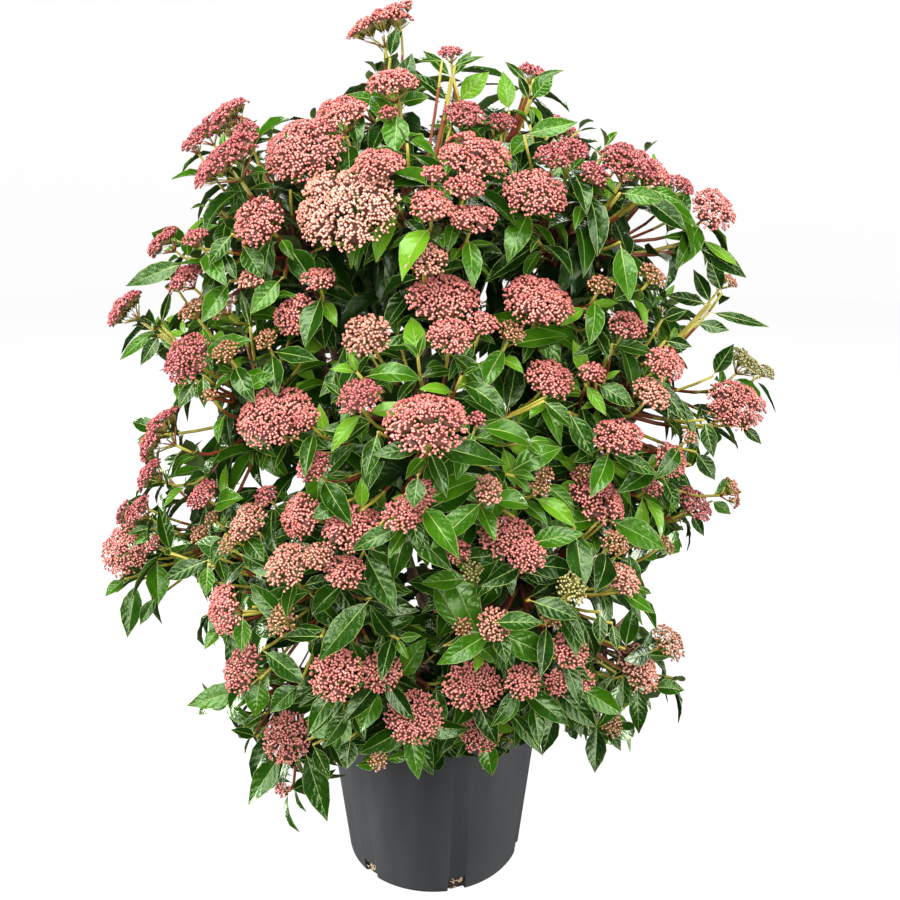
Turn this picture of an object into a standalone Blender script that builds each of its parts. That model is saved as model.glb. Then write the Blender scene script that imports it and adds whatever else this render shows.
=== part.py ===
# A laurustinus (Viburnum tinus) in bud, standing in its nursery container.
# Metres, +Z up. The origin is the centre of the pot's flat underside, and the front is at -Y.
# Azimuths are in degrees about the pot's axis: 0 is the front, 90 is +X, 180 is the back.

import math
import random

import bmesh
import bpy
from mathutils import Matrix, Vector
from mathutils.bvhtree import BVHTree

GAP = 0.0003  # clearance between neighbouring solids
UP = Vector((0, 0, 1))

# Pot
POT_HEIGHT = 0.270
RIM_RADIUS = 0.150
FOOT_RADIUS = 0.1176
POT_WALL = 0.0032
POT_FLOOR = 0.0040
LIP_HEIGHT = 0.012
LIP_PROUD = 0.0025
FOOT_ROUND = 0.008
POT_SIDES = 48
HOLE_COUNT = 6
HOLE_WIDTH = 0.023
HOLE_HEIGHT = 0.024
HOLE_REACH_IN = 0.014
FIRST_HOLE_AZIMUTH = 15

# Root ball and trunk
COMPOST_TOP = 0.255
TRUNK_HEIGHTS = (0.0, 0.010, 0.030, 0.060, 0.088, 0.096)  # above the compost
TRUNK_RADII = (0.0250, 0.0190, 0.0155, 0.0150, 0.0155, 0.0090)
TRUNK_LEAN = Vector((0.010, -0.006, 0.0))  # how far the top stands off the foot

# Stems rise from the trunk, and boughs leave the stems
STEM_RADIUS = 0.0075
STEM_END_RADIUS = 0.0036
BOUGH_RADIUS = 0.0042
BOUGH_END_RADIUS = 0.0028
STEM_POINTS = 7
BOUGH_POINTS = 4
COLLAR = 0.004  # straight length where a limb leaves its parent
LEADER = "leader"

# stem: azimuth where it leaves the trunk, and height of that place above the compost
STEMS = {
    "leader": (0, 0.096),
    "front_left": (-35, 0.064),
    "front_right": (30, 0.046),
    "right": (90, 0.068),
    "back_right": (150, 0.044),
    "back_left": (-150, 0.066),
    "left": (-92, 0.042),
}

# foliage mass: stem that carries it, azimuth, reach from the axis, height and radius of its
# space, and the height where its bough leaves the stem (None where the stem itself ends in it)
MASSES = {
    "top_left": ("leader", -105, 0.055, 0.965, 0.095, None),
    "top_right": ("leader", 65, 0.080, 0.905, 0.120, 0.760),
    "mid_front": ("leader", 0, 0.245, 0.680, 0.135, 0.500),
    "upper_front": ("leader", -4, 0.185, 0.865, 0.115, 0.690),
    "upper_front_left": ("front_left", -46, 0.200, 0.850, 0.130, None),
    "mid_front_left": ("front_left", -46, 0.245, 0.690, 0.130, 0.560),
    "low_front_left": ("front_left", -25, 0.245, 0.510, 0.140, 0.420),
    "skirt_front_left": ("front_left", -52, 0.228, 0.320, 0.120, 0.372),
    "upper_front_right": ("front_right", 42, 0.200, 0.850, 0.130, None),
    "mid_front_right": ("front_right", 48, 0.245, 0.690, 0.130, 0.560),
    "low_front_right": ("front_right", 23, 0.245, 0.510, 0.140, 0.420),
    "skirt_front": ("front_right", -10, 0.205, 0.375, 0.125, 0.388),
    "skirt_front_right": ("front_right", 38, 0.210, 0.365, 0.120, 0.404),
    "upper_right": ("right", 93, 0.200, 0.835, 0.130, None),
    "mid_right": ("right", 88, 0.265, 0.680, 0.140, 0.550),
    "low_right": ("right", 84, 0.250, 0.500, 0.130, 0.430),
    "skirt_right": ("right", 90, 0.225, 0.295, 0.120, 0.374),
    "upper_back_right": ("back_right", 158, 0.190, 0.860, 0.140, None),
    "mid_back_right": ("back_right", 140, 0.250, 0.690, 0.145, 0.560),
    "low_back_right": ("back_right", 142, 0.240, 0.490, 0.140, 0.420),
    "skirt_back_right": ("back_right", 155, 0.200, 0.340, 0.115, 0.376),
    "upper_back_left": ("back_left", -142, 0.190, 0.850, 0.140, None),
    "mid_back_left": ("back_left", -155, 0.250, 0.680, 0.145, 0.560),
    "low_back_left": ("back_left", -148, 0.240, 0.480, 0.140, 0.420),
    "skirt_back_left": ("back_left", -125, 0.205, 0.335, 0.115, 0.380),
    "upper_left": ("left", -98, 0.190, 0.855, 0.125, None),
    "mid_left": ("left", -97, 0.250, 0.690, 0.135, 0.550),
    "low_left": ("left", -86, 0.270, 0.480, 0.140, 0.410),
}

# Growth inside a mass
CROWN_HEART = Vector((0.0, 0.0, 0.62))
LEAST_OUTWARD_Z = -0.30  # hanging masses still face outwards more than down
BASE_INSET = 0.55  # of the radius: how far inside its space a mass starts
TIPS_PER_AREA = 248  # shoot tips for each square metre of (radius squared)
TIP_SPREAD = math.radians(88)
TIP_DEPTHS = (1.0, 0.82, 0.64)  # of the reach: tried in turn until the tip has room
TIP_REACH = (0.82, 0.95)  # of the radius
TIP_ROOM = 0.012  # clear space that a tip keeps to the border of its mass
TIP_SPACING = 0.034
SPACE_MARGIN = 0.0006  # to each border between two masses
SPACE_OVERRUN = 0.030  # leaves and flowers may stand this far out of the round space
TWIG_SIDES = 3
STEM_TWIG_RADIUS = 0.0030
SHOOT_RADIUS = 0.0022
SHOOT_END_RADIUS = 0.0016
SHOOT_RISE = 0.35
GOLDEN_ANGLE = math.pi * (3 - math.sqrt(5))

# Leaves and flower heads
PAIR_PLACES = (0.012, 0.040, 0.070)  # leaf pairs, measured back from the shoot's tip
LEAF_LENGTH = (0.094, 0.118)
LEAF_WIDTH = 0.56  # of the length
LEAF_WIDEST = 0.45
LEAF_FOLD = 0.05
LEAF_THICKNESS = 0.0024
LEAF_SPLAY = (45, 75)  # degrees off the shoot
LEAF_DROOP = (0.20, 0.90)
LEAF_ATTEMPTS = 9
ATTEMPT_TURN = 0.5
FACE_OUT = 0.8
FACE_UP = 0.6
HEAD_RADIUS = (0.020, 0.044)
HEAD_SIDES = 6
HEAD_STALK = 0.42  # of the head's radius: the cone of rays below the dome
HEAD_DOME = 0.40

LIMB_CLEARANCE = 0.0012  # leaves and twigs keep this far off limbs, pot and compost


def clear_scene():
    for thing in list(bpy.data.objects):
        bpy.data.objects.remove(thing, do_unlink=True)


def new_collection(name):
    collection = bpy.data.collections.new(name)
    bpy.context.scene.collection.children.link(collection)
    return collection


def material(name, colour, roughness):
    made = bpy.data.materials.new(name)
    made.use_nodes = True
    shader = made.node_tree.nodes["Principled BSDF"]
    shader.inputs["Base Color"].default_value = (*colour, 1)
    shader.inputs["Roughness"].default_value = roughness
    shader.inputs["Metallic"].default_value = 0
    return made


def compass(azimuth, reach, height):
    turn = math.radians(azimuth)
    return Vector((reach * math.sin(turn), -reach * math.cos(turn), height))


def evaluated_mesh(source):
    graph = bpy.context.evaluated_depsgraph_get()
    return bpy.data.meshes.new_from_object(source.evaluated_get(graph))


def new_part(name, mesh, finish, collection):
    part = bpy.data.objects.new(name, mesh)
    mesh.materials.clear()
    mesh.materials.append(finish)
    collection.objects.link(part)
    return part


def turned(name, profile, finish, collection):
    # A profile of (radius, height) pairs turned about the pot's axis
    mesh = bpy.data.meshes.new(name)
    points = [(radius, 0, height) for radius, height in profile]
    mesh.from_pydata(points, [(i, i + 1) for i in range(len(points) - 1)], [])
    part = new_part(name, mesh, finish, collection)
    screw = part.modifiers.new("Turn", "SCREW")
    screw.steps = POT_SIDES
    screw.render_steps = POT_SIDES
    screw.use_merge_vertices = True
    screw.merge_threshold = 0.0001
    return part


def wall_radius(height):
    return FOOT_RADIUS + (RIM_RADIUS - LIP_PROUD - FOOT_RADIUS) * height / POT_HEIGHT


def make_pot(finish, collection, cutters):
    inside = [(0, POT_FLOOR), (wall_radius(POT_FLOOR) - POT_WALL, POT_FLOOR)]
    inside.append((wall_radius(POT_HEIGHT) - POT_WALL, POT_HEIGHT))
    lip_foot = POT_HEIGHT - LIP_HEIGHT
    outside = [(RIM_RADIUS, POT_HEIGHT), (RIM_RADIUS, lip_foot)]
    outside.append((wall_radius(lip_foot - LIP_PROUD), lip_foot - LIP_PROUD))
    for step in range(4):
        turn = math.radians(30 * step)
        ease = FOOT_ROUND * (1 - math.cos(turn))
        outside.append((wall_radius(FOOT_ROUND) - ease, FOOT_ROUND * (1 - math.sin(turn))))
    pot = turned("pot", inside + outside + [(0, 0)], finish, collection)

    for number in range(HOLE_COUNT):
        azimuth = FIRST_HOLE_AZIMUTH + 360 / HOLE_COUNT * number
        cutter = hole_cutter(number, azimuth, cutters)
        cut = pot.modifiers.new(f"Hole {number + 1}", "BOOLEAN")
        cut.operation = "DIFFERENCE"
        cut.object = cutter
    return pot


def hole_cutter(number, azimuth, cutters):
    # A block across the corner between wall and floor, longer than both are thick
    depth = 2 * HOLE_REACH_IN
    box = bmesh.new()
    bmesh.ops.create_cube(box, size=1)
    bmesh.ops.scale(box, vec=(HOLE_WIDTH, depth, 2 * HOLE_HEIGHT), verts=box.verts)
    mesh = bpy.data.meshes.new(f"hole_cutter_{number + 1}")
    box.to_mesh(mesh)
    box.free()
    cutter = bpy.data.objects.new(mesh.name, mesh)
    cutter.location = compass(azimuth, FOOT_RADIUS - HOLE_REACH_IN + depth / 2, 0)
    cutter.rotation_euler.z = math.radians(azimuth)
    cutter.hide_render = True
    cutter.display_type = "WIRE"
    cutters.objects.link(cutter)
    return cutter


def make_root_ball(finish, collection):
    inset = POT_WALL + GAP
    foot = POT_FLOOR + GAP
    profile = [
        (0, COMPOST_TOP),
        (wall_radius(COMPOST_TOP) - inset, COMPOST_TOP),
        (wall_radius(foot) - inset, foot),
        (0, foot),
    ]
    return turned("root_ball", profile, finish, collection)


def tube_mesh(name, route, radii, resolution):
    # A tapering tube along the route, with welded caps
    curve = bpy.data.curves.new(name, "CURVE")
    curve.dimensions = "3D"
    curve.bevel_depth = 1
    curve.bevel_resolution = resolution
    curve.use_fill_caps = True
    spline = curve.splines.new("POLY")
    spline.points.add(len(route) - 1)
    for point, place, radius in zip(spline.points, route, radii):
        point.co = (*place, 1)
        point.radius = radius
    guide = bpy.data.objects.new(name + " guide", curve)
    bpy.context.scene.collection.objects.link(guide)
    mesh = evaluated_mesh(guide)
    mesh.name = name
    welded = bmesh.new()
    welded.from_mesh(mesh)
    bmesh.ops.remove_doubles(welded, verts=welded.verts, dist=0.00001)
    bmesh.ops.recalc_face_normals(welded, faces=welded.faces)
    welded.to_mesh(mesh)
    welded.free()
    bpy.data.objects.remove(guide)
    bpy.data.curves.remove(curve)
    return mesh


def tree_of(mesh):
    return BVHTree.FromPolygons(
        [vertex.co for vertex in mesh.vertices],
        [polygon.vertices for polygon in mesh.polygons],
    )


def disc_clearance(tree, centre, normal, radius):
    # Least distance from a flat disc to a limb's surface, negative where it runs inside
    across = normal.orthogonal().normalized()
    other = normal.cross(across)
    least = math.inf
    for share in (0, 0.5, 1):
        for step in range(12):
            turn = math.tau * step / 12
            spot = centre + (across * math.cos(turn) + other * math.sin(turn)) * radius * share
            near, facing, _, distance = tree.find_nearest(spot)
            if (spot - near).dot(facing) < 0:
                distance = -distance
            least = min(least, distance)
    return least


def seat_on(tree, inside, direction, radius):
    # Where a limb's end disc first stands GAP clear of the parent, going out from inside it
    place = tree.ray_cast(inside, direction)[0].copy()
    while disc_clearance(tree, place, direction, radius) < GAP:
        place += direction * GAP / 4
    return place


def sweep(start, start_direction, end, end_direction, count):
    # A smooth route with a straight collar at each end, so that both end discs keep their seats
    first = start + start_direction * COLLAR
    last = end - end_direction * COLLAR
    pull = (last - first).length * 0.34
    leave = first + start_direction * pull
    arrive = last - end_direction * pull
    route = [start]
    for step in range(count):
        t = step / (count - 1)
        s = 1 - t
        route.append(first * s**3 + leave * 3 * s * s * t + arrive * 3 * s * t * t + last * t**3)
    return route + [end]


def tapered(start, end, count):
    return [start + (end - start) * (step / (count - 1)) ** 0.8 for step in range(count)]


def route_at(route, height):
    # Place and direction where a rising route first reaches the height
    for low, high in zip(route, route[1:]):
        if low.z <= height < high.z:
            share = (height - low.z) / (high.z - low.z)
            return low.lerp(high, share), (high - low).normalized()
    return route[-2].lerp(route[-1], 0.5), (route[-1] - route[-2]).normalized()


class Mass:
    # One mass of foliage: its round space, the planes that part it from its neighbours, and
    # the place and direction in which its own stem starts
    def __init__(self, name, number):
        stem, azimuth, reach, height, radius, leaves_at = MASSES[name]
        self.name = name
        self.number = number
        self.stem = stem
        self.leaves_at = leaves_at
        self.centre = compass(azimuth, reach, height)
        self.radius = radius
        outward = (self.centre - CROWN_HEART).normalized()
        outward.z = max(outward.z, LEAST_OUTWARD_Z)
        self.outward = outward.normalized()
        self.borders = []
        self.base = None
        self.facing = None

    def part_from(self, other):
        between = other.centre - self.centre
        distance = between.length
        normal = between / distance
        weight = self.radius**2 - other.radius**2
        reach = (distance * distance + weight) / (2 * distance)
        self.borders.append((normal, normal.dot(self.centre) + reach - SPACE_MARGIN))

    def start_from(self, origin):
        towards = (origin - self.centre).normalized()
        self.base = self.centre + towards * self.radius * BASE_INSET
        self.facing = -towards

    def holds(self, points, room=0.0):
        limit = self.radius + SPACE_OVERRUN - room
        for point in points:
            if (point - self.centre).length > limit:
                return False
            if any(normal.dot(point) > offset - room for normal, offset in self.borders):
                return False
        return True


def make_masses():
    masses = [Mass(name, number) for number, name in enumerate(MASSES)]
    for mass in masses:
        for other in masses:
            if other is not mass:
                mass.part_from(other)
    return masses


def make_trunk(finish, collection):
    # The foot stands upright for its first step, so that its cut lies level on the compost
    upright, top = TRUNK_HEIGHTS[1], TRUNK_HEIGHTS[-1]
    route = []
    for height in TRUNK_HEIGHTS:
        share = max(0, height - upright) / (top - upright)
        place = Vector((0, 0, COMPOST_TOP + GAP + height))
        route.append(place + TRUNK_LEAN * share**2)
    mesh = tube_mesh("trunk", route, TRUNK_RADII, 2)
    return new_part("trunk", mesh, finish, collection), route


def make_stem(name, mass, trunk_tree, trunk_route, finish, collection):
    azimuth, height = STEMS[name]
    if name == LEADER:
        inside = trunk_route[-2]
        direction = (trunk_route[-1] - trunk_route[-2]).normalized()
    else:
        inside, _ = route_at(trunk_route, COMPOST_TOP + height)
        direction = compass(azimuth, 0.80, 0.60).normalized()
    start = seat_on(trunk_tree, inside, direction, STEM_RADIUS)
    below = Vector((mass.centre.x * 0.45, mass.centre.y * 0.45, mass.centre.z - 0.26))
    mass.start_from(below)
    route = sweep(start, direction, mass.base - mass.facing * GAP, mass.facing, STEM_POINTS)
    radii = tapered(STEM_RADIUS, STEM_END_RADIUS, len(route))
    mesh = tube_mesh("stem_" + name, route, radii, 1)
    return new_part("stem_" + name, mesh, finish, collection), route, radii


def make_bough(mass, stem_part, stem_route, finish, collection):
    inside, along = route_at(stem_route, mass.leaves_at)
    towards = mass.centre - inside
    direction = (towards - along * towards.dot(along)).normalized()
    start = seat_on(tree_of(stem_part.data), inside, direction, BOUGH_RADIUS)
    mass.start_from(inside + UP * 0.03)
    route = sweep(start, direction, mass.base - mass.facing * GAP, mass.facing, BOUGH_POINTS)
    radii = tapered(BOUGH_RADIUS, BOUGH_END_RADIUS, len(route))
    mesh = tube_mesh("bough_" + mass.name, route, radii, 1)
    return new_part("bough_" + mass.name, mesh, finish, collection), route, radii


def keep_off_tree(limbs, trunk_route):
    # Everything that foliage may not touch, a little swollen, as one searchable surface
    meshes = [
        tube_mesh("clearance", route, [radius + LIMB_CLEARANCE for radius in radii], 1)
        for route, radii in limbs
    ]
    swollen = [radius + LIMB_CLEARANCE for radius in TRUNK_RADII]
    meshes.append(tube_mesh("clearance", trunk_route, swollen, 2))
    pot = bmesh.new()
    bmesh.ops.create_cone(
        pot,
        cap_ends=True,
        segments=POT_SIDES,
        radius1=FOOT_RADIUS + LIP_PROUD + LIMB_CLEARANCE,
        radius2=RIM_RADIUS + LIMB_CLEARANCE,
        depth=POT_HEIGHT + LIMB_CLEARANCE,
    )
    bmesh.ops.translate(pot, vec=UP * (POT_HEIGHT + LIMB_CLEARANCE) / 2, verts=pot.verts)
    mesh = bpy.data.meshes.new("clearance")
    pot.to_mesh(mesh)
    pot.free()
    meshes.append(mesh)
    points = []
    faces = []
    for mesh in meshes:
        first = len(points)
        points += [vertex.co.copy() for vertex in mesh.vertices]
        faces += [[first + corner for corner in face.vertices] for face in mesh.polygons]
        bpy.data.meshes.remove(mesh)
    return BVHTree.FromPolygons(points, faces)


def van_der_corput(number):
    share = 0.0
    step = 0.5
    while number:
        share += step * (number & 1)
        number >>= 1
        step /= 2
    return share


def shoot_tips(mass, count):
    # An even spread over the outward side, in an order that stays even however many are taken
    across = mass.outward.orthogonal().normalized()
    other = mass.outward.cross(across)
    tips = []
    for number in range(4 * count):
        polar = math.acos(1 - (1 - math.cos(TIP_SPREAD)) * van_der_corput(number))
        turn = number * GOLDEN_ANGLE
        ring = across * math.cos(turn) + other * math.sin(turn)
        direction = mass.outward * math.cos(polar) + ring * math.sin(polar)
        reach = random.Random(1000 * mass.number + number).uniform(*TIP_REACH) * mass.radius
        for depth in TIP_DEPTHS:
            tip = mass.centre + direction * reach * depth
            if not mass.holds([tip], TIP_ROOM):
                continue
            if all((tip - taken).length > TIP_SPACING for taken, _, _ in tips):
                tips.append((tip, direction, number))
            break
        if len(tips) == count:
            break
    return tips


def frame_along(direction, start, hint):
    # A matrix whose Z runs along the direction, with X as near the hint as it can be
    side = (hint - direction * hint.dot(direction)).normalized()
    third = direction.cross(side)
    turn = Matrix((side, third, direction)).transposed().to_4x4()
    return Matrix.Translation(start) @ turn


def twig_piece(start, end, start_radius, end_radius):
    length = (end - start).length
    shape = bmesh.new()
    bmesh.ops.create_cone(
        shape,
        cap_ends=True,
        segments=TWIG_SIDES,
        radius1=start_radius,
        radius2=end_radius,
        depth=length,
    )
    direction = (end - start) / length
    place = frame_along(direction, (start + end) / 2, direction.orthogonal())
    shape.transform(place)
    return shape


def shoot_piece(start, bend, tip):
    # A three-sided shoot with one bend
    shape = twig_piece(start, bend, SHOOT_RADIUS, SHOOT_RADIUS)
    rise = bend - start
    end_face = max(shape.faces, key=lambda face: face.calc_center_median().dot(rise))
    grown = bmesh.ops.extrude_face_region(shape, geom=[end_face])["geom"]
    bmesh.ops.delete(shape, geom=[end_face], context="FACES_ONLY")
    corners = [item for item in grown if isinstance(item, bmesh.types.BMVert)]
    bmesh.ops.translate(shape, vec=tip - bend, verts=corners)
    for corner in corners:
        corner.co = tip + (corner.co - tip) * SHOOT_END_RADIUS / SHOOT_RADIUS
    return shape


def leaf_piece(root, direction, normal, length):
    # A slim folded blade from a four-sided cone: its foot is the leaf's outline and its apex
    # lies on the midrib. The leaf's root point is inside the twig
    shape = bmesh.new()
    bmesh.ops.create_cone(shape, cap_ends=True, segments=4, radius1=1, radius2=0, depth=1)
    ends = [vertex for vertex in shape.verts if abs(vertex.co.y) > 0.5]
    bmesh.ops.connect_verts(shape, verts=ends)
    for vertex in shape.verts:
        side, end, level = vertex.co
        rise = LEAF_THICKNESS if level > 0 else abs(side) * LEAF_FOLD * length
        middle = LEAF_WIDEST if abs(end) < 0.5 else (1 + end) / 2
        vertex.co = (side * length * LEAF_WIDTH / 2, rise, middle * length)
    shape.transform(frame_along(direction, root, normal.cross(direction)))
    return shape


def head_piece(root, direction, radius):
    # A flower head: a cone of rays under a low dome
    shape = bmesh.new()
    bmesh.ops.create_uvsphere(shape, u_segments=HEAD_SIDES, v_segments=3, radius=1)
    levels = sorted({round(vertex.co.z, 3) for vertex in shape.verts})
    heights = (0, HEAD_STALK, HEAD_STALK + 0.55 * HEAD_DOME, HEAD_STALK + HEAD_DOME)
    widths = (0, 1.0, 0.80, 0)
    for vertex in shape.verts:
        level = levels.index(round(vertex.co.z, 3))
        flat = Vector((vertex.co.x, vertex.co.y))
        if flat.length > 0:
            flat = flat.normalized() * widths[level]
        vertex.co = (flat.x * radius, flat.y * radius, heights[level] * radius)
    shape.transform(frame_along(direction, root, direction.orthogonal()))
    return shape


def clear_of(shape, mass, keep_off):
    if not mass.holds([vertex.co for vertex in shape.verts]):
        return False
    tree = BVHTree.FromBMesh(shape)
    return not any(tree.overlap(other) for other in keep_off)


def leaf_beside(along, shoot_direction, turn, draw):
    # One leaf of a pair, drooping, with its upper face to the light
    across = shoot_direction.orthogonal().normalized()
    other = shoot_direction.cross(across)
    sideways = across * math.cos(turn) + other * math.sin(turn)
    splay = math.radians(draw.uniform(*LEAF_SPLAY))
    direction = shoot_direction * math.cos(splay) + sideways * math.sin(splay)
    direction = (direction - UP * draw.uniform(*LEAF_DROOP)).normalized()
    light = (along - CROWN_HEART).normalized() * FACE_OUT + UP * FACE_UP
    normal = (light - direction * light.dot(direction)).normalized()
    root = along + sideways * SHOOT_RADIUS * 0.2
    return leaf_piece(root, direction, normal, draw.uniform(*LEAF_LENGTH))


def grow_shoots(mass, stem_end, keep_off):
    # A shoot to each tip, as (shape, tip, bend, key)
    shoots = []
    for tip, direction, number in shoot_tips(mass, round(TIPS_PER_AREA * mass.radius**2)):
        start = mass.base.lerp(stem_end, 0.55 + 0.42 * (number * 0.618 % 1))
        rise = (direction + UP * SHOOT_RISE).normalized()
        bend = tip - rise * (tip - start).length * 0.45
        shape = shoot_piece(start, bend, tip)
        if clear_of(shape, mass, [keep_off]):
            shoots.append((shape, tip, bend, 1000 * mass.number + number))
        else:
            shape.free()
    return shoots


def grow_mass(mass, keep_off):
    # The mass's own stem, its shoots, and the flower head and leaf pairs of each shoot
    stem_end = mass.base.lerp(mass.centre, 0.9) + mass.outward * mass.radius * 0.12
    stem = twig_piece(mass.base, stem_end, STEM_TWIG_RADIUS, SHOOT_RADIUS)
    shoots = grow_shoots(mass, stem_end, keep_off)
    shoot_trees = [BVHTree.FromBMesh(shoot[0]) for shoot in shoots]
    grown = [keep_off, BVHTree.FromBMesh(stem)]
    pieces = [shoot[0] for shoot in shoots]

    for number, (_, tip, bend, key) in enumerate(shoots):
        rise = (tip - bend).normalized()
        share = random.Random(key).random() ** 1.6
        radius = HEAD_RADIUS[0] + (HEAD_RADIUS[1] - HEAD_RADIUS[0]) * share
        head = head_piece(tip - rise * SHOOT_RADIUS, rise, radius)
        others = shoot_trees[:number] + shoot_trees[number + 1 :]
        keep_if_clear(head, mass, grown, others, pieces)

    leaves = 0
    for pair, back in enumerate(PAIR_PLACES):
        for number, (_, tip, bend, key) in enumerate(shoots):
            rise = (tip - bend).normalized()
            others = shoot_trees[:number] + shoot_trees[number + 1 :]
            for side in (0, 1):
                for attempt in range(LEAF_ATTEMPTS):
                    draw = random.Random(10000 * key + 100 * attempt + 10 * pair + side)
                    turn = key + math.pi * (pair / 2 + side) + attempt * ATTEMPT_TURN
                    leaf = leaf_beside(tip - rise * back, rise, turn, draw)
                    if keep_if_clear(leaf, mass, grown, others, pieces):
                        leaves += 1
                        break
    return stem, pieces, leaves


def keep_if_clear(shape, mass, grown, others, pieces):
    # Keeps a piece that stays in its mass's space and crosses nothing but its own shoot
    if not clear_of(shape, mass, grown + others):
        shape.free()
        return False
    pieces.append(shape)
    grown.append(BVHTree.FromBMesh(shape))
    return True


def largest_piece(mesh):
    # Drops loose scraps, and the inner shells of sealed hollows
    shape = bmesh.new()
    shape.from_mesh(mesh)
    shape.verts.ensure_lookup_table()
    unseen = set(range(len(shape.verts)))
    largest = set()
    while unseen:
        queue = [unseen.pop()]
        group = set(queue)
        while queue:
            for edge in shape.verts[queue.pop()].link_edges:
                for vertex in edge.verts:
                    if vertex.index in unseen:
                        unseen.discard(vertex.index)
                        group.add(vertex.index)
                        queue.append(vertex.index)
        if len(group) > len(largest):
            largest = group
    loose = [vertex for vertex in shape.verts if vertex.index not in largest]
    bmesh.ops.delete(shape, geom=loose, context="VERTS")
    shape.to_mesh(mesh)
    shape.free()


def object_from(shape, name, collection):
    mesh = bpy.data.meshes.new(name)
    bmesh.ops.recalc_face_normals(shape, faces=shape.faces)
    shape.to_mesh(mesh)
    shape.free()
    piece = bpy.data.objects.new(name, mesh)
    collection.objects.link(piece)
    return piece


def fused(name, stem, pieces, finish, collection):
    # One Boolean union of the stem with everything that grows on it
    growth = new_collection(name + " growth")
    base = object_from(stem, name + " stem", bpy.context.scene.collection)
    for number, shape in enumerate(pieces):
        object_from(shape, f"{name} piece {number}", growth)
    union = base.modifiers.new("Fuse", "BOOLEAN")
    union.operation = "UNION"
    union.operand_type = "COLLECTION"
    union.solver = "EXACT"
    union.collection = growth
    mesh = evaluated_mesh(base)
    largest_piece(mesh)
    mesh.name = name
    for piece in list(growth.objects):
        bpy.data.objects.remove(piece)
    bpy.data.collections.remove(growth)
    bpy.data.objects.remove(base)
    return new_part(name, mesh, finish, collection)


def main():
    clear_scene()
    plant = new_collection("potted_laurustinus")
    cutters = new_collection("cutters")
    plastic = material("pot plastic", (0.050, 0.052, 0.056), 0.45)
    compost = material("compost", (0.035, 0.022, 0.014), 0.95)
    bark = material("bark", (0.120, 0.055, 0.032), 0.75)
    foliage = material("foliage", (0.045, 0.140, 0.030), 0.40)

    make_pot(plastic, plant, cutters)
    make_root_ball(compost, plant)
    trunk, trunk_route = make_trunk(bark, plant)
    trunk_tree = tree_of(trunk.data)

    masses = make_masses()
    limbs = []
    stems = {}
    for mass in masses:
        if mass.leaves_at is None:
            part, route, radii = make_stem(mass.stem, mass, trunk_tree, trunk_route, bark, plant)
            stems[mass.stem] = (part, route)
            limbs.append((route, radii))
    for mass in masses:
        if mass.leaves_at is not None:
            part, route, radii = make_bough(mass, *stems[mass.stem], bark, plant)
            limbs.append((route, radii))

    keep_off = keep_off_tree(limbs, trunk_route)
    leaf_count = 0
    triangle_count = 0
    for mass in masses:
        stem, pieces, leaves = grow_mass(mass, keep_off)
        part = fused("foliage_" + mass.name, stem, pieces, foliage, plant)
        part.data.calc_loop_triangles()
        triangles = len(part.data.loop_triangles)
        leaf_count += leaves
        triangle_count += triangles
        print(mass.name, len(pieces), "pieces,", leaves, "leaves,", triangles, "triangles")
    print("foliage:", leaf_count, "leaves,", triangle_count, "triangles")


main()
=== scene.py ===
# A laurustinus (Viburnum tinus) in bud, standing in its nursery pot.
# Metres, +Z up. The photographed side faces -Y. Azimuths are degrees about the pot's axis,
# from 0 at the front through 90 at +X to 180 at the back.

import math
import random

import bpy
import numpy as np
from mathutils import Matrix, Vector
from mathutils.bvhtree import BVHTree


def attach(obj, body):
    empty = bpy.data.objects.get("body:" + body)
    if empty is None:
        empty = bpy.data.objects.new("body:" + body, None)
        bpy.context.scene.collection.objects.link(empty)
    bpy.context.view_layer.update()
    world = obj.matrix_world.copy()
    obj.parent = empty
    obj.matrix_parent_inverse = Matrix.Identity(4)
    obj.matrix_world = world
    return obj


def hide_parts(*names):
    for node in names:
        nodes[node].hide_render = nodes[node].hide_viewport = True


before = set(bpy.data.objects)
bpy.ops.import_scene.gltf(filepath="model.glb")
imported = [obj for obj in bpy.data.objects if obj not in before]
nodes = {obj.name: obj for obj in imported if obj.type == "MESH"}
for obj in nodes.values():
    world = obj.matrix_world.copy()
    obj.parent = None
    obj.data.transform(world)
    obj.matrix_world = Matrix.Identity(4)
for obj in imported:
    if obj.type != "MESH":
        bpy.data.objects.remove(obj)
bpy.ops.object.select_all(action="DESELECT")
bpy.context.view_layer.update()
scene = bpy.context.scene

up = Vector((0, 0, 1))
gap = 0.0003
goldenAngle = math.pi * (3 - math.sqrt(5))


# Camera, light and floor

view = {
    "place": (0.022, -1.250, 0.975),
    "pitch": 72.2,  # degrees up from straight down
    "lens": 42,
    "sensor": 36,
    "picture": 900,  # pixels across and down
}


def makeCamera():
    lens = bpy.data.cameras.new("camera")
    lens.lens = view["lens"]
    lens.sensor_width = view["sensor"]
    eye = bpy.data.objects.new("camera", lens)
    eye.location = view["place"]
    eye.rotation_euler = (math.radians(view["pitch"]), 0, 0)
    scene.collection.objects.link(eye)
    scene.camera = eye
    return eye


def sightLine(pixelX, pixelY):
    # Direction in which the camera sees a point of the picture
    half = view["picture"] / 2
    reach = view["lens"] / view["sensor"] * view["picture"]
    flat = Vector((pixelX - half, half - pixelY, -reach))
    return (camera.rotation_euler.to_matrix() @ flat).normalized()


def pictureOf(points):
    # Where the camera shows points, in pixels
    half = view["picture"] / 2
    reach = view["lens"] / view["sensor"] * view["picture"]
    local = (np.asarray(points) - camera.location) @ np.array(camera.rotation_euler.to_matrix())
    return half - reach * local[..., 0] / local[..., 2], half + reach * local[..., 1] / local[..., 2]


camera = makeCamera()


# Materials

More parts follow.
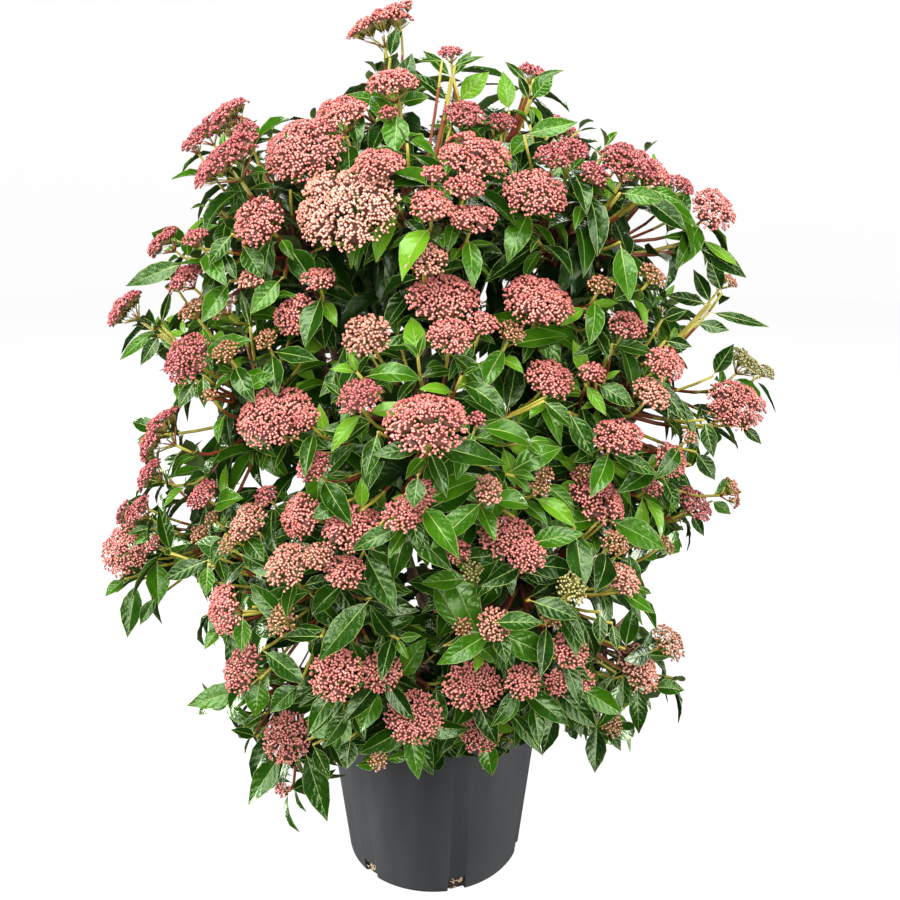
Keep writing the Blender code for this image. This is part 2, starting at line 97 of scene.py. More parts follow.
def addNode(tree, kind, links=None, **settings):
    made = tree.nodes.new(kind)
    for name, value in settings.items():
        setattr(made, name, value)
    for socket, value in (links or {}).items():
        if isinstance(value, bpy.types.NodeSocket):
            tree.links.new(value, made.inputs[socket])
        else:
            made.inputs[socket].default_value = value
    return made


def startFinish(name, sockets):
    # A material whose uniform values sit on the shader's own sockets
    made = bpy.data.materials.new(name)
    made.use_nodes = True
    shader = made.node_tree.nodes["Principled BSDF"]
    for socket, value in sockets.items():
        shader.inputs[socket].default_value = value
    return made, made.node_tree, shader


def noiseOn(tree, place, scale, detail=3, stretch=None):
    if stretch:
        place = addNode(tree, "ShaderNodeMapping", {"Vector": place, "Scale": stretch}).outputs[0]
    made = addNode(tree, "ShaderNodeTexNoise", {"Vector": place, "Scale": scale, "Detail": detail})
    return made.outputs["Fac"]


def blendColours(tree, share, low, high, start=0.35, end=0.65):
    ramp = addNode(tree, "ShaderNodeValToRGB", {"Fac": share})
    ramp.color_ramp.elements[0].position = start
    ramp.color_ramp.elements[0].color = (*low, 1)
    ramp.color_ramp.elements[1].position = end
    ramp.color_ramp.elements[1].color = (*high, 1)
    return ramp.outputs["Color"]


def remap(tree, share, low, high):
    made = addNode(tree, "ShaderNodeMapRange", {"Value": share, "To Min": low, "To Max": high})
    return made.outputs["Result"]


def bumpFrom(tree, height, distance, strength=1.0, normal=None):
    links = {"Height": height, "Distance": distance, "Strength": strength}
    if normal:
        links["Normal"] = normal
    return addNode(tree, "ShaderNodeBump", links).outputs["Normal"]


def simpleFinish(name, low, high, roughness, patch, grain, relief, stretch=None, sockets=None):
    # Two tones in soft patches, uneven gloss and a fine raised grain
    made, tree, shader = startFinish(name, sockets or {})
    place = addNode(tree, "ShaderNodeTexCoord").outputs["Object"]
    tone = noiseOn(tree, place, patch, 4, stretch)
    fine = noiseOn(tree, place, grain, 4, stretch)
    tree.links.new(blendColours(tree, tone, low, high), shader.inputs["Base Color"])
    tree.links.new(remap(tree, fine, *roughness), shader.inputs["Roughness"])
    tree.links.new(bumpFrom(tree, fine, relief), shader.inputs["Normal"])
    return made


# Arrays of small things

def arrayMesh(name, points, faces, slots, finishes, marks=None):
    # One joined mesh of many copies. points is copies x points x 3, faces is the list that all
    # copies share, slots is copies x faces, and marks is an optional (u, v) for each point
    copies, count = points.shape[:2]
    corners = np.array([corner for face in faces for corner in face], dtype=np.int32)
    sizes = np.array([len(face) for face in faces], dtype=np.int32)
    starts = np.concatenate(([0], np.cumsum(sizes)[:-1])).astype(np.int32)
    steps = np.arange(copies, dtype=np.int32)[:, None]
    mesh = bpy.data.meshes.new(name)
    mesh.vertices.add(copies * count)
    mesh.vertices.foreach_set("co", points.astype(np.float32).ravel())
    mesh.loops.add(copies * len(corners))
    mesh.loops.foreach_set("vertex_index", (corners[None] + steps * count).ravel())
    mesh.polygons.add(copies * len(faces))
    mesh.polygons.foreach_set("loop_start", (starts[None] + steps * len(corners)).ravel())
    mesh.polygons.foreach_set("material_index", slots.astype(np.int32).ravel())
    mesh.update(calc_edges=True)
    if marks is not None:
        layer = mesh.uv_layers.new(name="shape")
        layer.uv.foreach_set("vector", np.tile(marks[corners].ravel(), copies).astype(np.float32))
    mesh.shade_smooth()
    for finish in finishes:
        mesh.materials.append(finish)
    piece = bpy.data.objects.new(name, mesh)
    scene.collection.objects.link(piece)
    triangles = copies * int((sizes - 2).sum())
    print(name, "-", copies, "copies,", triangles, "triangles")
    return piece


def between(bounds, share):
    return bounds[0] + (bounds[1] - bounds[0]) * share


def unit(vectors):
    return vectors / np.linalg.norm(vectors, axis=-1, keepdims=True)


def framesAlong(directions):
    # Two unit vectors square to each direction
    helper = np.where(np.abs(directions[..., 2:]) < 0.9, [0.0, 0.0, 1.0], [1.0, 0.0, 0.0])
    side = unit(np.cross(helper, directions))
    return side, np.cross(directions, side)


def tubePoints(routes, radii, sides):
    # Rings round each route, with a pole at both ends. routes is tubes x points x 3
    steps = np.gradient(routes, axis=1)
    along = unit(steps)
    side, _ = framesAlong(along[:, 0])
    rings = []
    turns = np.arange(sides) * math.tau / sides
    for number in range(routes.shape[1]):
        heading = along[:, number]
        side = unit(side - heading * (side * heading).sum(-1, keepdims=True))
        other = np.cross(heading, side)
        wheel = side[:, None] * np.cos(turns)[:, None] + other[:, None] * np.sin(turns)[:, None]
        rings.append(routes[:, number, None] + wheel * radii[:, number, None, None])
    body = np.concatenate(rings, axis=1)
    return np.concatenate([routes[:, :1], body, routes[:, -1:]], axis=1)


def tubeFaces(count, sides):
    faces = []
    last = 1 + count * sides
    for turn in range(sides):
        after = (turn + 1) % sides
        faces.append((0, 1 + after, 1 + turn))
        faces.append((last, last - sides + turn, last - sides + after))
        for ring in range(count - 1):
            low = 1 + ring * sides
            faces.append((low + turn, low + after, low + sides + after, low + sides + turn))
    return faces


def curveRoutes(starts, bends, ends, count):
    # Smooth routes that leave along start-bend and arrive along bend-end
    t = np.linspace(0, 1, count)[None, :, None]
    s = 1 - t
    return starts[:, None] * s * s + bends[:, None] * 2 * s * t + ends[:, None] * t * t


# The plant's plan: the same named sizes as its frame

# foliage mass: stem that carries it, azimuth, reach from the axis, height and radius of its
# space, and the height where its bough leaves the stem (None where the stem itself ends in it)
masses = {
    "top_left": ("leader", -105, 0.055, 0.965, 0.095, None),
    "top_right": ("leader", 65, 0.080, 0.905, 0.120, 0.760),
    "mid_front": ("leader", 0, 0.245, 0.680, 0.135, 0.500),
    "upper_front": ("leader", -4, 0.185, 0.865, 0.115, 0.690),
    "upper_front_left": ("front_left", -46, 0.200, 0.850, 0.130, None),
    "mid_front_left": ("front_left", -46, 0.245, 0.690, 0.130, 0.560),
    "low_front_left": ("front_left", -25, 0.245, 0.510, 0.140, 0.420),
    "skirt_front_left": ("front_left", -52, 0.228, 0.320, 0.120, 0.372),
    "upper_front_right": ("front_right", 42, 0.200, 0.850, 0.130, None),
    "mid_front_right": ("front_right", 48, 0.245, 0.690, 0.130, 0.560),
    "low_front_right": ("front_right", 23, 0.245, 0.510, 0.140, 0.420),
    "skirt_front": ("front_right", -10, 0.205, 0.375, 0.125, 0.388),
    "skirt_front_right": ("front_right", 38, 0.210, 0.365, 0.120, 0.404),
    "upper_right": ("right", 93, 0.200, 0.835, 0.130, None),
    "mid_right": ("right", 88, 0.265, 0.680, 0.140, 0.550),
    "low_right": ("right", 84, 0.250, 0.500, 0.130, 0.430),
    "skirt_right": ("right", 90, 0.225, 0.295, 0.120, 0.374),
    "upper_back_right": ("back_right", 158, 0.190, 0.860, 0.140, None),
    "mid_back_right": ("back_right", 140, 0.250, 0.690, 0.145, 0.560),
    "low_back_right": ("back_right", 142, 0.240, 0.490, 0.140, 0.420),
    "skirt_back_right": ("back_right", 155, 0.200, 0.340, 0.115, 0.376),
    "upper_back_left": ("back_left", -142, 0.190, 0.850, 0.140, None),
    "mid_back_left": ("back_left", -155, 0.250, 0.680, 0.145, 0.560),
    "low_back_left": ("back_left", -148, 0.240, 0.480, 0.140, 0.420),
    "skirt_back_left": ("back_left", -125, 0.205, 0.335, 0.115, 0.380),
    "upper_left": ("left", -98, 0.190, 0.855, 0.125, None),
    "mid_left": ("left", -97, 0.250, 0.690, 0.135, 0.550),
    "low_left": ("left", -86, 0.270, 0.480, 0.140, 0.410),
}

growth = {
    "heart": Vector((0, 0, 0.62)),
    "leastOutwardZ": -0.30,
    "baseInset": 0.55,  # of the radius: how far inside its space a mass starts
    "stemReach": 0.9,  # of the way to a mass's centre: its own stem
    "stemRise": 0.12,  # of the radius: how far that stem bends outwards
    "tipsPerArea": 248,  # the frame's shoot tips for each square metre of (radius squared)
    "finer": 3.1,  # shoots here for each one in the frame
    "inner": 15,  # short shoots in the shade of each mass
    "inward": 8,  # short shoots on the side of each mass that faces the heart of the crown
    "headed": 0.55,  # share of the shoots out of the camera's sight that end in a flower head
    "innerReach": (0.30, 0.62),
    "innerSpread": math.radians(150),
    "inwardReach": (0.62, 0.92),
    "inwardSpread": math.radians(75),
    "tipSpread": math.radians(88),
    "tipDepths": (1.0, 0.82, 0.64),
    "tipReach": (0.82, 0.95),
    "tipRoom": 0.012,
    "tipSpacing": 0.030,
    "searches": 4,  # places tried for each shoot wanted
    "margin": 0.0006,
    "overrun": 0.030,
    "rise": 0.35,
    "skyRoom": 8,  # pixels that the tips of shoots keep from the open sky
    "twigSky": -1,  # pixels that their lower parts keep from it: they may cross its edge
    "headRoom": 0.0010,  # metres of a head's radius for each pixel it keeps from the open sky
    "crownRound": 1.02,  # of a mass's radius: where the heads that the picture shows sit
    "missCost": 4,  # metres of depth for each metre that a sight line misses that round by
    "ownOutward": 0.3,  # weight of its mass's outward direction, for a head the picture shows
    "sightTurn": -0.15,  # least cosine towards the camera of shoots in its sight
    "sightBack": 0.12,  # how far back those may be
    "frontBefore": 0.01,  # masses with their centres before this go to the front pieces
    # number of the first shoot of each kind, which seeds its draws
    "firstKeys": {"head": 500, "leaf": 550, "inner": 700, "inward": 800},
    "innerDepths": (1.0, 0.8),  # of the reach, tried in turn
    "shownSlack": 0.020,  # how far the sprays that the picture shows may leave their mass's space
    "leafSlack": 0.022,  # how far leaves may reach between the leaves of the next mass
    # how steeply the heads that the picture shows face upwards, in degrees, down the picture
    "headElevations": ((60, 170, 300, 500, 700), (76, 58, 55, 50, 44)),
    "leafDepths": (0.012, 0.022, 0.034, 0.002, -0.010),  # where the leaves that it shows may be
}


def compass(azimuth, reach, height):
    turn = math.radians(azimuth)
    return Vector((reach * math.sin(turn), -reach * math.cos(turn), height))


class Mass:
    # One mass of foliage: its round space and the planes that part it from its neighbours
    def __init__(self, name, number):
        self.stem, azimuth, reach, height, self.radius, self.leavesAt = masses[name]
        self.name = name
        self.number = number
        self.centre = compass(azimuth, reach, height)
        outward = (self.centre - growth["heart"]).normalized()
        outward.z = max(outward.z, growth["leastOutwardZ"])
        self.outward = outward.normalized()
        self.normals = []
        self.offsets = []

    def partFrom(self, other):
        towards = other.centre - self.centre
        distance = towards.length
        normal = towards / distance
        reach = (distance**2 + self.radius**2 - other.radius**2) / (2 * distance)
        self.normals.append(normal)
        self.offsets.append(normal.dot(self.centre) + reach - growth["margin"])

    def startFrom(self, origin):
        towards = (origin - self.centre).normalized()
        self.base = self.centre + towards * self.radius * growth["baseInset"]
        self.facing = -towards
        rise = self.outward * self.radius * growth["stemRise"]
        self.stemEnd = self.base.lerp(self.centre, growth["stemReach"]) + rise

    def holds(self, points, room=0.0, past=0.0):
        # Whether each set of points lies in the mass's round, and less than past its partings
        away = np.linalg.norm(np.asarray(points) - self.centre, axis=-1)
        inRound = (away <= self.radius + growth["overrun"] - room).all(axis=-1)
        return inRound & (points @ self.normals.T <= self.offsets - room + past).all(axis=(-1, -2))


def planMasses():
    planned = [Mass(name, number) for number, name in enumerate(masses)]
    for mass in planned:
        for other in planned:
            if other is not mass:
                mass.partFrom(other)
        mass.normals = np.array(mass.normals)
        mass.offsets = np.array(mass.offsets)
    return planned


# Trunk, stems and boughs

limbs = {
    "compostTop": 0.255,
    "trunkHeights": (0.0, 0.010, 0.030, 0.060, 0.088, 0.096),  # above the compost
    "trunkRadii": (0.0250, 0.0190, 0.0155, 0.0150, 0.0155, 0.0090),
    "trunkLean": Vector((0.010, -0.006, 0.0)),
    "stemRadii": (0.0075, 0.0036),
    "boughRadii": (0.0042, 0.0028),
    "collar": 0.004,
    "stemPoints": 7,
    "relief": 0.0011,
    "grain": 0.009,
    "pull": 0.34,  # of the distance: how far a limb keeps its direction at its ends
    "leaving": (0.80, 0.60),  # outwards and upwards, where a stem leaves the trunk
    "aimIn": 0.45,  # a stem reaches its mass from here: share of the mass's reach, and below it
    "aimBelow": 0.26,
    "boughRise": 0.03,
    "probes": (0, 0.5, 1),  # rings of an end disc that are held clear, and places on each
    "probePlaces": 12,
    "fine": {"stem": 56, "bough": 22, "trunk": 40},  # points along the shown limbs
    "sides": {"stem": 14, "bough": 10, "trunk": 32},
    "swell": 0.45,  # added thickness at a fork, and the points over which it fades
    "swellFade": 2.5,
    "taper": 0.8,
}
# stem: azimuth where it leaves the trunk, and height of that place above the compost
stems = {
    "leader": (0, 0.096),
    "front_left": (-35, 0.064),
    "front_right": (30, 0.046),
    "right": (90, 0.068),
    "back_right": (150, 0.044),
    "back_left": (-150, 0.066),
    "left": (-92, 0.042),
}


def treeOf(name):
    mesh = nodes[name].data
    return BVHTree.FromPolygons(
        [vertex.co for vertex in mesh.vertices],
        [polygon.vertices for polygon in mesh.polygons],
    )


def discClearance(tree, centre, normal, radius):
    across = normal.orthogonal().normalized()
    other = normal.cross(across)
    least = math.inf
    for share in limbs["probes"]:
        for step in range(limbs["probePlaces"]):
            turn = math.tau * step / limbs["probePlaces"]
            spot = centre + (across * math.cos(turn) + other * math.sin(turn)) * radius * share
            near, facing, _, distance = tree.find_nearest(spot)
            least = min(least, math.copysign(distance, (spot - near).dot(facing)))
    return least


def seatOn(tree, inside, direction, radius):
    # Where a limb's end disc first stands clear of its parent, going out from inside it
    place = tree.ray_cast(inside, direction)[0].copy()
    while discClearance(tree, place, direction, radius) < gap:
        place += direction * gap / 4
    return place


def sweep(start, leaving, end, arriving, count):
    first = start + leaving * limbs["collar"]
    last = end - arriving * limbs["collar"]
    pull = (last - first).length * limbs["pull"]
    controls = (first, first + leaving * pull, last - arriving * pull, last)
    route = [start]
    for step in range(count):
        t = step / (count - 1)
        weights = ((1 - t) ** 3, 3 * (1 - t) ** 2 * t, 3 * (1 - t) * t * t, t**3)
        route.append(sum((spot * weight for spot, weight in zip(controls, weights)), Vector()))
    return route + [end]


def routeAt(route, height):
    for low, high in zip(route, route[1:]):
        if low.z <= height < high.z:
            share = (height - low.z) / (high.z - low.z)
            return low.lerp(high, share), (high - low).normalized()
    return route[-2].lerp(route[-1], 0.5), (route[-1] - route[-2]).normalized()


def trunkRoute():
    upright, top = limbs["trunkHeights"][1], limbs["trunkHeights"][-1]
    route = []
    for height in limbs["trunkHeights"]:
        share = max(0, height - upright) / (top - upright)
        place = Vector((0, 0, limbs["compostTop"] + gap + height))
        route.append(place + limbs["trunkLean"] * share**2)
    return route


def planLimbs(planned):
    # Routes of the stems and boughs, as (name, inside the parent, fine route, radii)
    trunk = trunkRoute()
    trunkTree = treeOf("trunk")
    made = []
    coarse = {}
    for mass in planned:
        if mass.leavesAt is None:
            azimuth, height = stems[mass.stem]
            if mass.stem == "leader":
                inside = trunk[-2]
                leaving = (trunk[-1] - trunk[-2]).normalized()
            else:
                inside, _ = routeAt(trunk, limbs["compostTop"] + height)
                leaving = compass(azimuth, *limbs["leaving"]).normalized()
            start = seatOn(trunkTree, inside, leaving, limbs["stemRadii"][0])
            x, y, z = mass.centre
            aimIn = limbs["aimIn"]
            mass.startFrom(Vector((x * aimIn, y * aimIn, z - limbs["aimBelow"])))
            end = mass.base - mass.facing * gap
            coarse[mass.stem] = sweep(start, leaving, end, mass.facing, limbs["stemPoints"])
            fine = sweep(start, leaving, end, mass.facing, limbs["fine"]["stem"])
            made.append(("stem_" + mass.stem, inside, fine, limbs["stemRadii"]))
    for mass in planned:
        if mass.leavesAt is not None:
            inside, along = routeAt(coarse[mass.stem], mass.leavesAt)
            towards = mass.centre - inside
            leaving = (towards - along * towards.dot(along)).normalized()
            start = seatOn(treeOf("stem_" + mass.stem), inside, leaving, limbs["boughRadii"][0])
            mass.startFrom(inside + up * limbs["boughRise"])
            end = mass.base - mass.facing * gap
            fine = sweep(start, leaving, end, mass.facing, limbs["fine"]["bough"])
            made.append(("bough_" + mass.name, inside, fine, limbs["boughRadii"]))
    return made


def roughen(piece, name, scale, strength, middle):
    # Raises and sinks a piece's surface by a noise
    noise = bpy.data.textures.new(name, "CLOUDS")
    noise.noise_scale = scale
    noise.noise_depth = 3
    relief = piece.modifiers.new("Relief", "DISPLACE")
    relief.texture = noise
    relief.texture_coords = "LOCAL"
    relief.strength = strength
    relief.mid_level = middle
    bpy.context.view_layer.objects.active = piece
    bpy.ops.object.modifier_apply(modifier="Relief")


def makeLimbPiece(kind, routes, radii, finish, replaced):
    sides = limbs["sides"][kind]
    faces = tubeFaces(routes.shape[1], sides)
    slots = np.zeros((len(routes), len(faces)))
    piece = arrayMesh(kind + "_bark", tubePoints(routes, radii, sides), faces, slots, [finish])
    roughen(piece, kind + " relief", limbs["grain"], limbs["relief"], 0.5)
    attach(piece, "root")
    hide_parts(*replaced)


def makeLimbs(made, finish):
    for kind in ("stem", "bough"):
        chosen = [limb for limb in made if limb[0].startswith(kind)]
        routes = np.array([[inside] + route for _, inside, route, _ in chosen])
        count = routes.shape[1]
        radii = []
        for _, _, _, (thick, thin) in chosen:
            share = np.clip(np.arange(count) - 1, 0, None) / (count - 2)
            swell = 1 + limbs["swell"] * np.exp(-np.arange(count) / limbs["swellFade"])
            radii.append((thick + (thin - thick) * share ** limbs["taper"]) * swell)
        makeLimbPiece(kind, routes, np.array(radii), finish, [limb[0] for limb in chosen])

    trunk = np.array(trunkRoute())
    heights = np.array(limbs["trunkHeights"])
    fineHeights = np.linspace(0, heights[-1], limbs["fine"]["trunk"])
    route = np.stack([np.interp(fineHeights, heights, trunk[:, axis]) for axis in range(3)], axis=1)
    radii = np.interp(fineHeights, heights, limbs["trunkRadii"])
    makeLimbPiece("trunk", route[None], radii[None], finish, ["trunk"])


# Shoots, flower heads and leaves

# Flower heads that the picture shows, by part of the crown: across and down the picture in
# pixels, width in millimetres, how ripe its buds are (deep is partly painted shade), and for
# some how steeply it faces upwards and which way it is turned, in degrees from +X
shownHeads = {
    "top": [
        (378, 20, 66, "rose"), (396, 8, 34, "rose"), (392, 78, 52, "rose"), (450, 51, 26, "deep"),
        (533, 69, 32, "deep"),
    ],
    "upper left": [
        (221, 114, 52, "deep", 50, 190), (222, 155, 66, "deep", 56, 200), (192, 142, 26, "deep"),
        (245, 128, 24, "deep"), (300, 144, 76, "rose", 40), (338, 109, 58, "rose"),
        (378, 160, 46, "rose"), (342, 203, 92, "pale", 30), (256, 220, 48, "rose", 28),
        (194, 236, 24, "deep"), (161, 239, 38, "deep", 45, 195), (184, 275, 36, "deep"),
        (250, 278, 24, "dusk"), (318, 277, 30, "rose"), (122, 306, 46, "deep", 42, 185),
        (190, 308, 28, "tan"), (222, 305, 26, "tan"), (294, 314, 42, "rose", 30), (265, 338, 22, "tan"),
        (183, 356, 50, "deep", 35, 240), (225, 350, 26, "tan"),
    ],
    "upper right": [
        (465, 110, 44, "deep"), (502, 120, 28, "deep"), (475, 150, 66, "rose"), (433, 172, 20, "rose"),
        (465, 185, 32, "rose"), (432, 203, 40, "rose"), (473, 215, 40, "rose"), (555, 153, 34, "deep"),
        (574, 146, 30, "deep"), (537, 188, 58, "rose", 42), (595, 172, 28, "deep"),
        (632, 158, 56, "deep"), (654, 169, 38, "rose"), (682, 183, 32, "deep"),
        (716, 207, 46, "rose", 36, 290), (655, 273, 26, "tan"), (728, 279, 28, "tan"),
        (602, 284, 24, "tan"), (424, 256, 40, "dusk"), (388, 112, 18, "deep"),
    ],
    "middle left": [
        (366, 334, 44, "dusk", 40), (358, 394, 40, "deep"), (272, 410, 74, "rose", 54),
        (306, 417, 24, "rose"), (209, 395, 14, "tan"), (154, 431, 54, "deep", 38, 185),
        (146, 473, 38, "deep", 34, 190), (201, 493, 32, "deep"), (312, 465, 32, "deep"),
        (265, 494, 22, "deep"), (246, 520, 40, "dusk"), (297, 515, 46, "rose", 26, 225),
        (198, 533, 24, "tan"), (227, 544, 20, "tan"), (211, 517, 16, "tan"), (352, 524, 56, "rose", 60),
        (402, 513, 36, "rose"), (420, 493, 28, "deep"),
    ],
    "middle right": [
        (443, 294, 62, "rose", 52), (450, 333, 40, "rose"), (482, 322, 28, "rose"),
        (540, 296, 68, "rose", 58), (512, 331, 26, "tan"), (594, 315, 18, "tan"), (629, 323, 36, "rose"),
        (668, 362, 40, "rose", 38), (552, 376, 46, "rose", 50), (593, 371, 24, "rose"),
        (653, 391, 36, "dusk"), (748, 361, 42, "lime"), (769, 371, 20, "lime", 40, 330),
        (738, 402, 62, "rose", 46, 290), (427, 416, 72, "rose", 60), (478, 418, 14, "deep"),
        (620, 434, 46, "rose", 54), (673, 459, 36, "rose", 36), (690, 437, 16, "tan"),
        (545, 473, 16, "tan"), (539, 487, 20, "tan"), (585, 471, 16, "tan"), (599, 492, 60, "rose", 52),
        (652, 485, 22, "deep"), (697, 502, 40, "deep"), (735, 493, 32, "tan", 15, -10),
        (489, 489, 26, "dusk"),
    ],
    "lower left": [
        (135, 508, 40, "deep", 42, 190), (122, 548, 60, "rose", 40, 252), (152, 543, 20, "rose"),
        (286, 562, 46, "dusk", 58), (318, 555, 28, "dusk"), (344, 570, 36, "rose"),
        (220, 609, 52, "rose", 22, 215), (281, 618, 30, "tan"), (240, 668, 44, "rose", 38, 235),
        (335, 673, 52, "rose"), (381, 671, 40, "rose"), (285, 737, 54, "rose", 38, 255),
        (414, 716, 56, "rose"), (378, 761, 18, "tan"), (282, 790, 16, "rose"),
    ],
    "lower right": [
        (455, 551, 27, "rose"), (508, 535, 48, "rose"), (528, 554, 34, "rose"), (472, 571, 20, "lime"),
        (616, 541, 28, "tan"), (637, 541, 16, "deep"), (665, 543, 22, "tan"), (625, 578, 34, "dusk"),
        (573, 588, 30, "lime"), (552, 617, 20, "tan"), (495, 623, 32, "dusk"), (463, 627, 18, "tan"),
        (571, 649, 36, "rose"), (557, 682, 24, "rose"), (583, 680, 24, "rose"), (641, 667, 50, "dusk"),
        (671, 641, 38, "tan"), (473, 685, 54, "rose"), (524, 681, 34, "rose"), (567, 699, 24, "tan"),
        (481, 734, 40, "rose"), (611, 721, 30, "tan"),
    ],
}

# Leaves that the picture shows clearly, by part of the crown: root and tip in pixels, width as
# a share of the length, and tone from 0 deep to 3 young
shownLeaves = {
    "top": [
        (390, 58, 396, 29, 0.45, 0), (399, 100, 410, 56, 0.50, 0), (396, 103, 349, 95, 0.30, 2),
        (400, 103, 425, 96, 0.60, 2), (449, 102, 417, 73, 0.35, 0), (458, 102, 485, 74, 0.55, 3),
        (451, 77, 427, 52, 0.35, 1), (453, 77, 469, 52, 0.35, 1), (442, 61, 421, 59, 0.20, 1),
        (455, 66, 480, 55, 0.28, 1), (509, 112, 504, 75, 0.50, 3), (529, 100, 520, 77, 0.40, 0),
        (531, 100, 550, 75, 0.60, 2), (527, 82, 508, 63, 0.30, 1), (534, 79, 560, 69, 0.25, 1),
        (524, 135, 572, 122, 0.40, 2), (397, 112, 395, 150, 0.60, 2),
    ],
    "left": [
        (186, 262, 131, 282, 0.34, 1), (230, 281, 204, 318, 0.45, 2), (232, 234, 210, 260, 0.45, 1),
        (243, 246, 260, 272, 0.60, 1), (222, 250, 235, 275, 0.35, 0), (188, 258, 186, 237, 0.50, 2),
        (158, 328, 122, 355, 0.28, 2), (160, 334, 142, 361, 0.40, 0), (161, 325, 169, 293, 0.25, 0),
        (250, 327, 242, 294, 0.25, 0), (282, 278, 253, 309, 0.50, 2), (178, 382, 180, 398, 0.50, 2),
        (196, 380, 180, 404, 0.45, 0), (203, 375, 204, 403, 0.40, 1), (248, 388, 270, 375, 0.50, 2),
        (125, 579, 107, 594, 0.60, 2), (157, 559, 158, 600, 0.55, 2), (136, 581, 128, 632, 0.40, 1),
        (157, 596, 140, 622, 0.45, 1), (160, 566, 160, 596, 0.35, 0), (208, 560, 167, 577, 0.45, 0),
        (171, 553, 160, 511, 0.35, 1), (152, 528, 129, 532, 0.40, 1), (152, 534, 135, 542, 0.45, 2),
        (225, 534, 212, 562, 0.45, 1), (218, 557, 225, 579, 0.50, 1), (208, 564, 206, 592, 0.50, 2),
        (244, 536, 262, 558, 0.60, 1), (243, 615, 241, 648, 0.50, 2), (220, 625, 206, 647, 0.50, 2),
        (253, 607, 303, 591, 0.38, 1), (262, 650, 302, 678, 0.42, 1), (321, 637, 286, 635, 0.42, 0),
    ],
    "right": [
        (695, 246, 744, 271, 0.36, 0), (701, 239, 735, 263, 0.25, 3), (722, 293, 711, 260, 0.45, 0),
        (711, 304, 696, 273, 0.38, 0), (708, 304, 670, 295, 0.32, 0), (709, 312, 764, 324, 0.20, 0),
        (696, 323, 726, 329, 0.45, 0), (699, 237, 666, 236, 0.25, 2), (696, 248, 674, 250, 0.40, 0),
        (671, 220, 657, 211, 0.50, 0), (643, 197, 683, 225, 0.45, 0), (646, 188, 679, 199, 0.38, 2),
        (620, 193, 659, 198, 0.45, 2), (620, 242, 629, 295, 0.40, 2), (665, 341, 689, 344, 0.50, 0),
        (662, 320, 684, 310, 0.55, 0), (704, 420, 713, 453, 0.45, 0), (696, 452, 714, 476, 0.55, 0),
        (741, 425, 760, 441, 0.40, 0), (713, 376, 731, 347, 0.50, 0), (653, 380, 687, 417, 0.32, 0),
        (612, 344, 653, 351, 0.38, 1), (608, 340, 577, 352, 0.38, 0), (596, 383, 631, 403, 0.50, 1),
        (585, 384, 605, 411, 0.35, 3), (587, 377, 575, 344, 0.40, 3), (604, 380, 617, 371, 0.40, 3),
        (544, 401, 571, 424, 0.48, 1), (547, 396, 531, 416, 0.45, 3), (536, 320, 559, 361, 0.42, 2),
        (569, 412, 592, 451, 0.45, 1), (608, 451, 653, 472, 0.35, 1), (600, 449, 577, 460, 0.55, 1),
        (691, 465, 697, 448, 0.55, 2), (664, 479, 677, 505, 0.50, 1), (691, 513, 703, 533, 0.45, 0),
        (712, 501, 729, 512, 0.60, 2), (607, 519, 663, 543, 0.45, 2), (600, 519, 550, 525, 0.48, 2),
        (525, 545, 577, 531, 0.42, 2), (575, 527, 583, 584, 0.45, 1), (611, 585, 592, 570, 0.55, 1),
        (620, 592, 653, 609, 0.38, 2), (600, 612, 600, 641, 0.50, 0), (612, 623, 617, 648, 0.40, 0),
        (560, 604, 584, 644, 0.28, 0), (625, 649, 632, 612, 0.45, 1), (653, 687, 681, 688, 0.60, 1),
        (637, 684, 639, 730, 0.40, 1), (616, 673, 592, 708, 0.35, 0), (623, 671, 623, 704, 0.45, 1),
    ],
    "low": [
        (249, 688, 193, 703, 0.42, 2), (260, 679, 255, 713, 0.70, 2), (300, 684, 271, 708, 0.60, 1),
        (324, 692, 301, 705, 0.45, 0), (308, 740, 343, 707, 0.50, 2), (283, 753, 248, 801, 0.42, 1),
        (305, 751, 326, 816, 0.38, 1), (313, 745, 328, 775, 0.45, 1), (257, 737, 235, 729, 0.50, 1),
        (265, 713, 244, 725, 0.45, 1), (351, 708, 325, 744, 0.42, 1), (351, 737, 346, 766, 0.70, 0),
        (353, 712, 364, 737, 0.45, 1), (380, 688, 361, 728, 0.55, 2), (409, 727, 418, 775, 0.42, 2),
        (399, 679, 421, 643, 0.50, 2), (364, 671, 353, 645, 0.50, 1), (485, 737, 492, 773, 0.55, 2),
        (467, 737, 451, 745, 0.50, 2), (495, 727, 512, 729, 0.50, 3), (503, 705, 543, 751, 0.25, 1),
        (533, 697, 539, 743, 0.38, 1), (557, 708, 543, 750, 0.42, 0), (597, 724, 595, 768, 0.48, 0),
        (608, 727, 620, 748, 0.50, 0), (571, 687, 589, 715, 0.45, 1), (576, 713, 581, 735, 0.40, 0),
    ],
    "middle": [
        (445, 566, 478, 627, 0.50, 2), (371, 598, 321, 655, 0.36, 1), (364, 551, 393, 607, 0.42, 1),
        (404, 517, 428, 545, 0.42, 1), (412, 515, 418, 546, 0.50, 1), (380, 525, 402, 516, 0.60, 3),
        (362, 510, 361, 482, 0.45, 3), (340, 505, 315, 514, 0.65, 1), (425, 511, 471, 487, 0.50, 1),
        (514, 517, 492, 490, 0.45, 1), (418, 475, 414, 504, 0.60, 1), (493, 623, 537, 620, 0.45, 1),
        (444, 646, 494, 638, 0.42, 1), (497, 626, 506, 660, 0.50, 1), (529, 600, 575, 616, 0.45, 0),
        (430, 445, 500, 460, 0.40, 1), (425, 448, 378, 452, 0.35, 1), (378, 432, 366, 472, 0.40, 1),
    ],
}

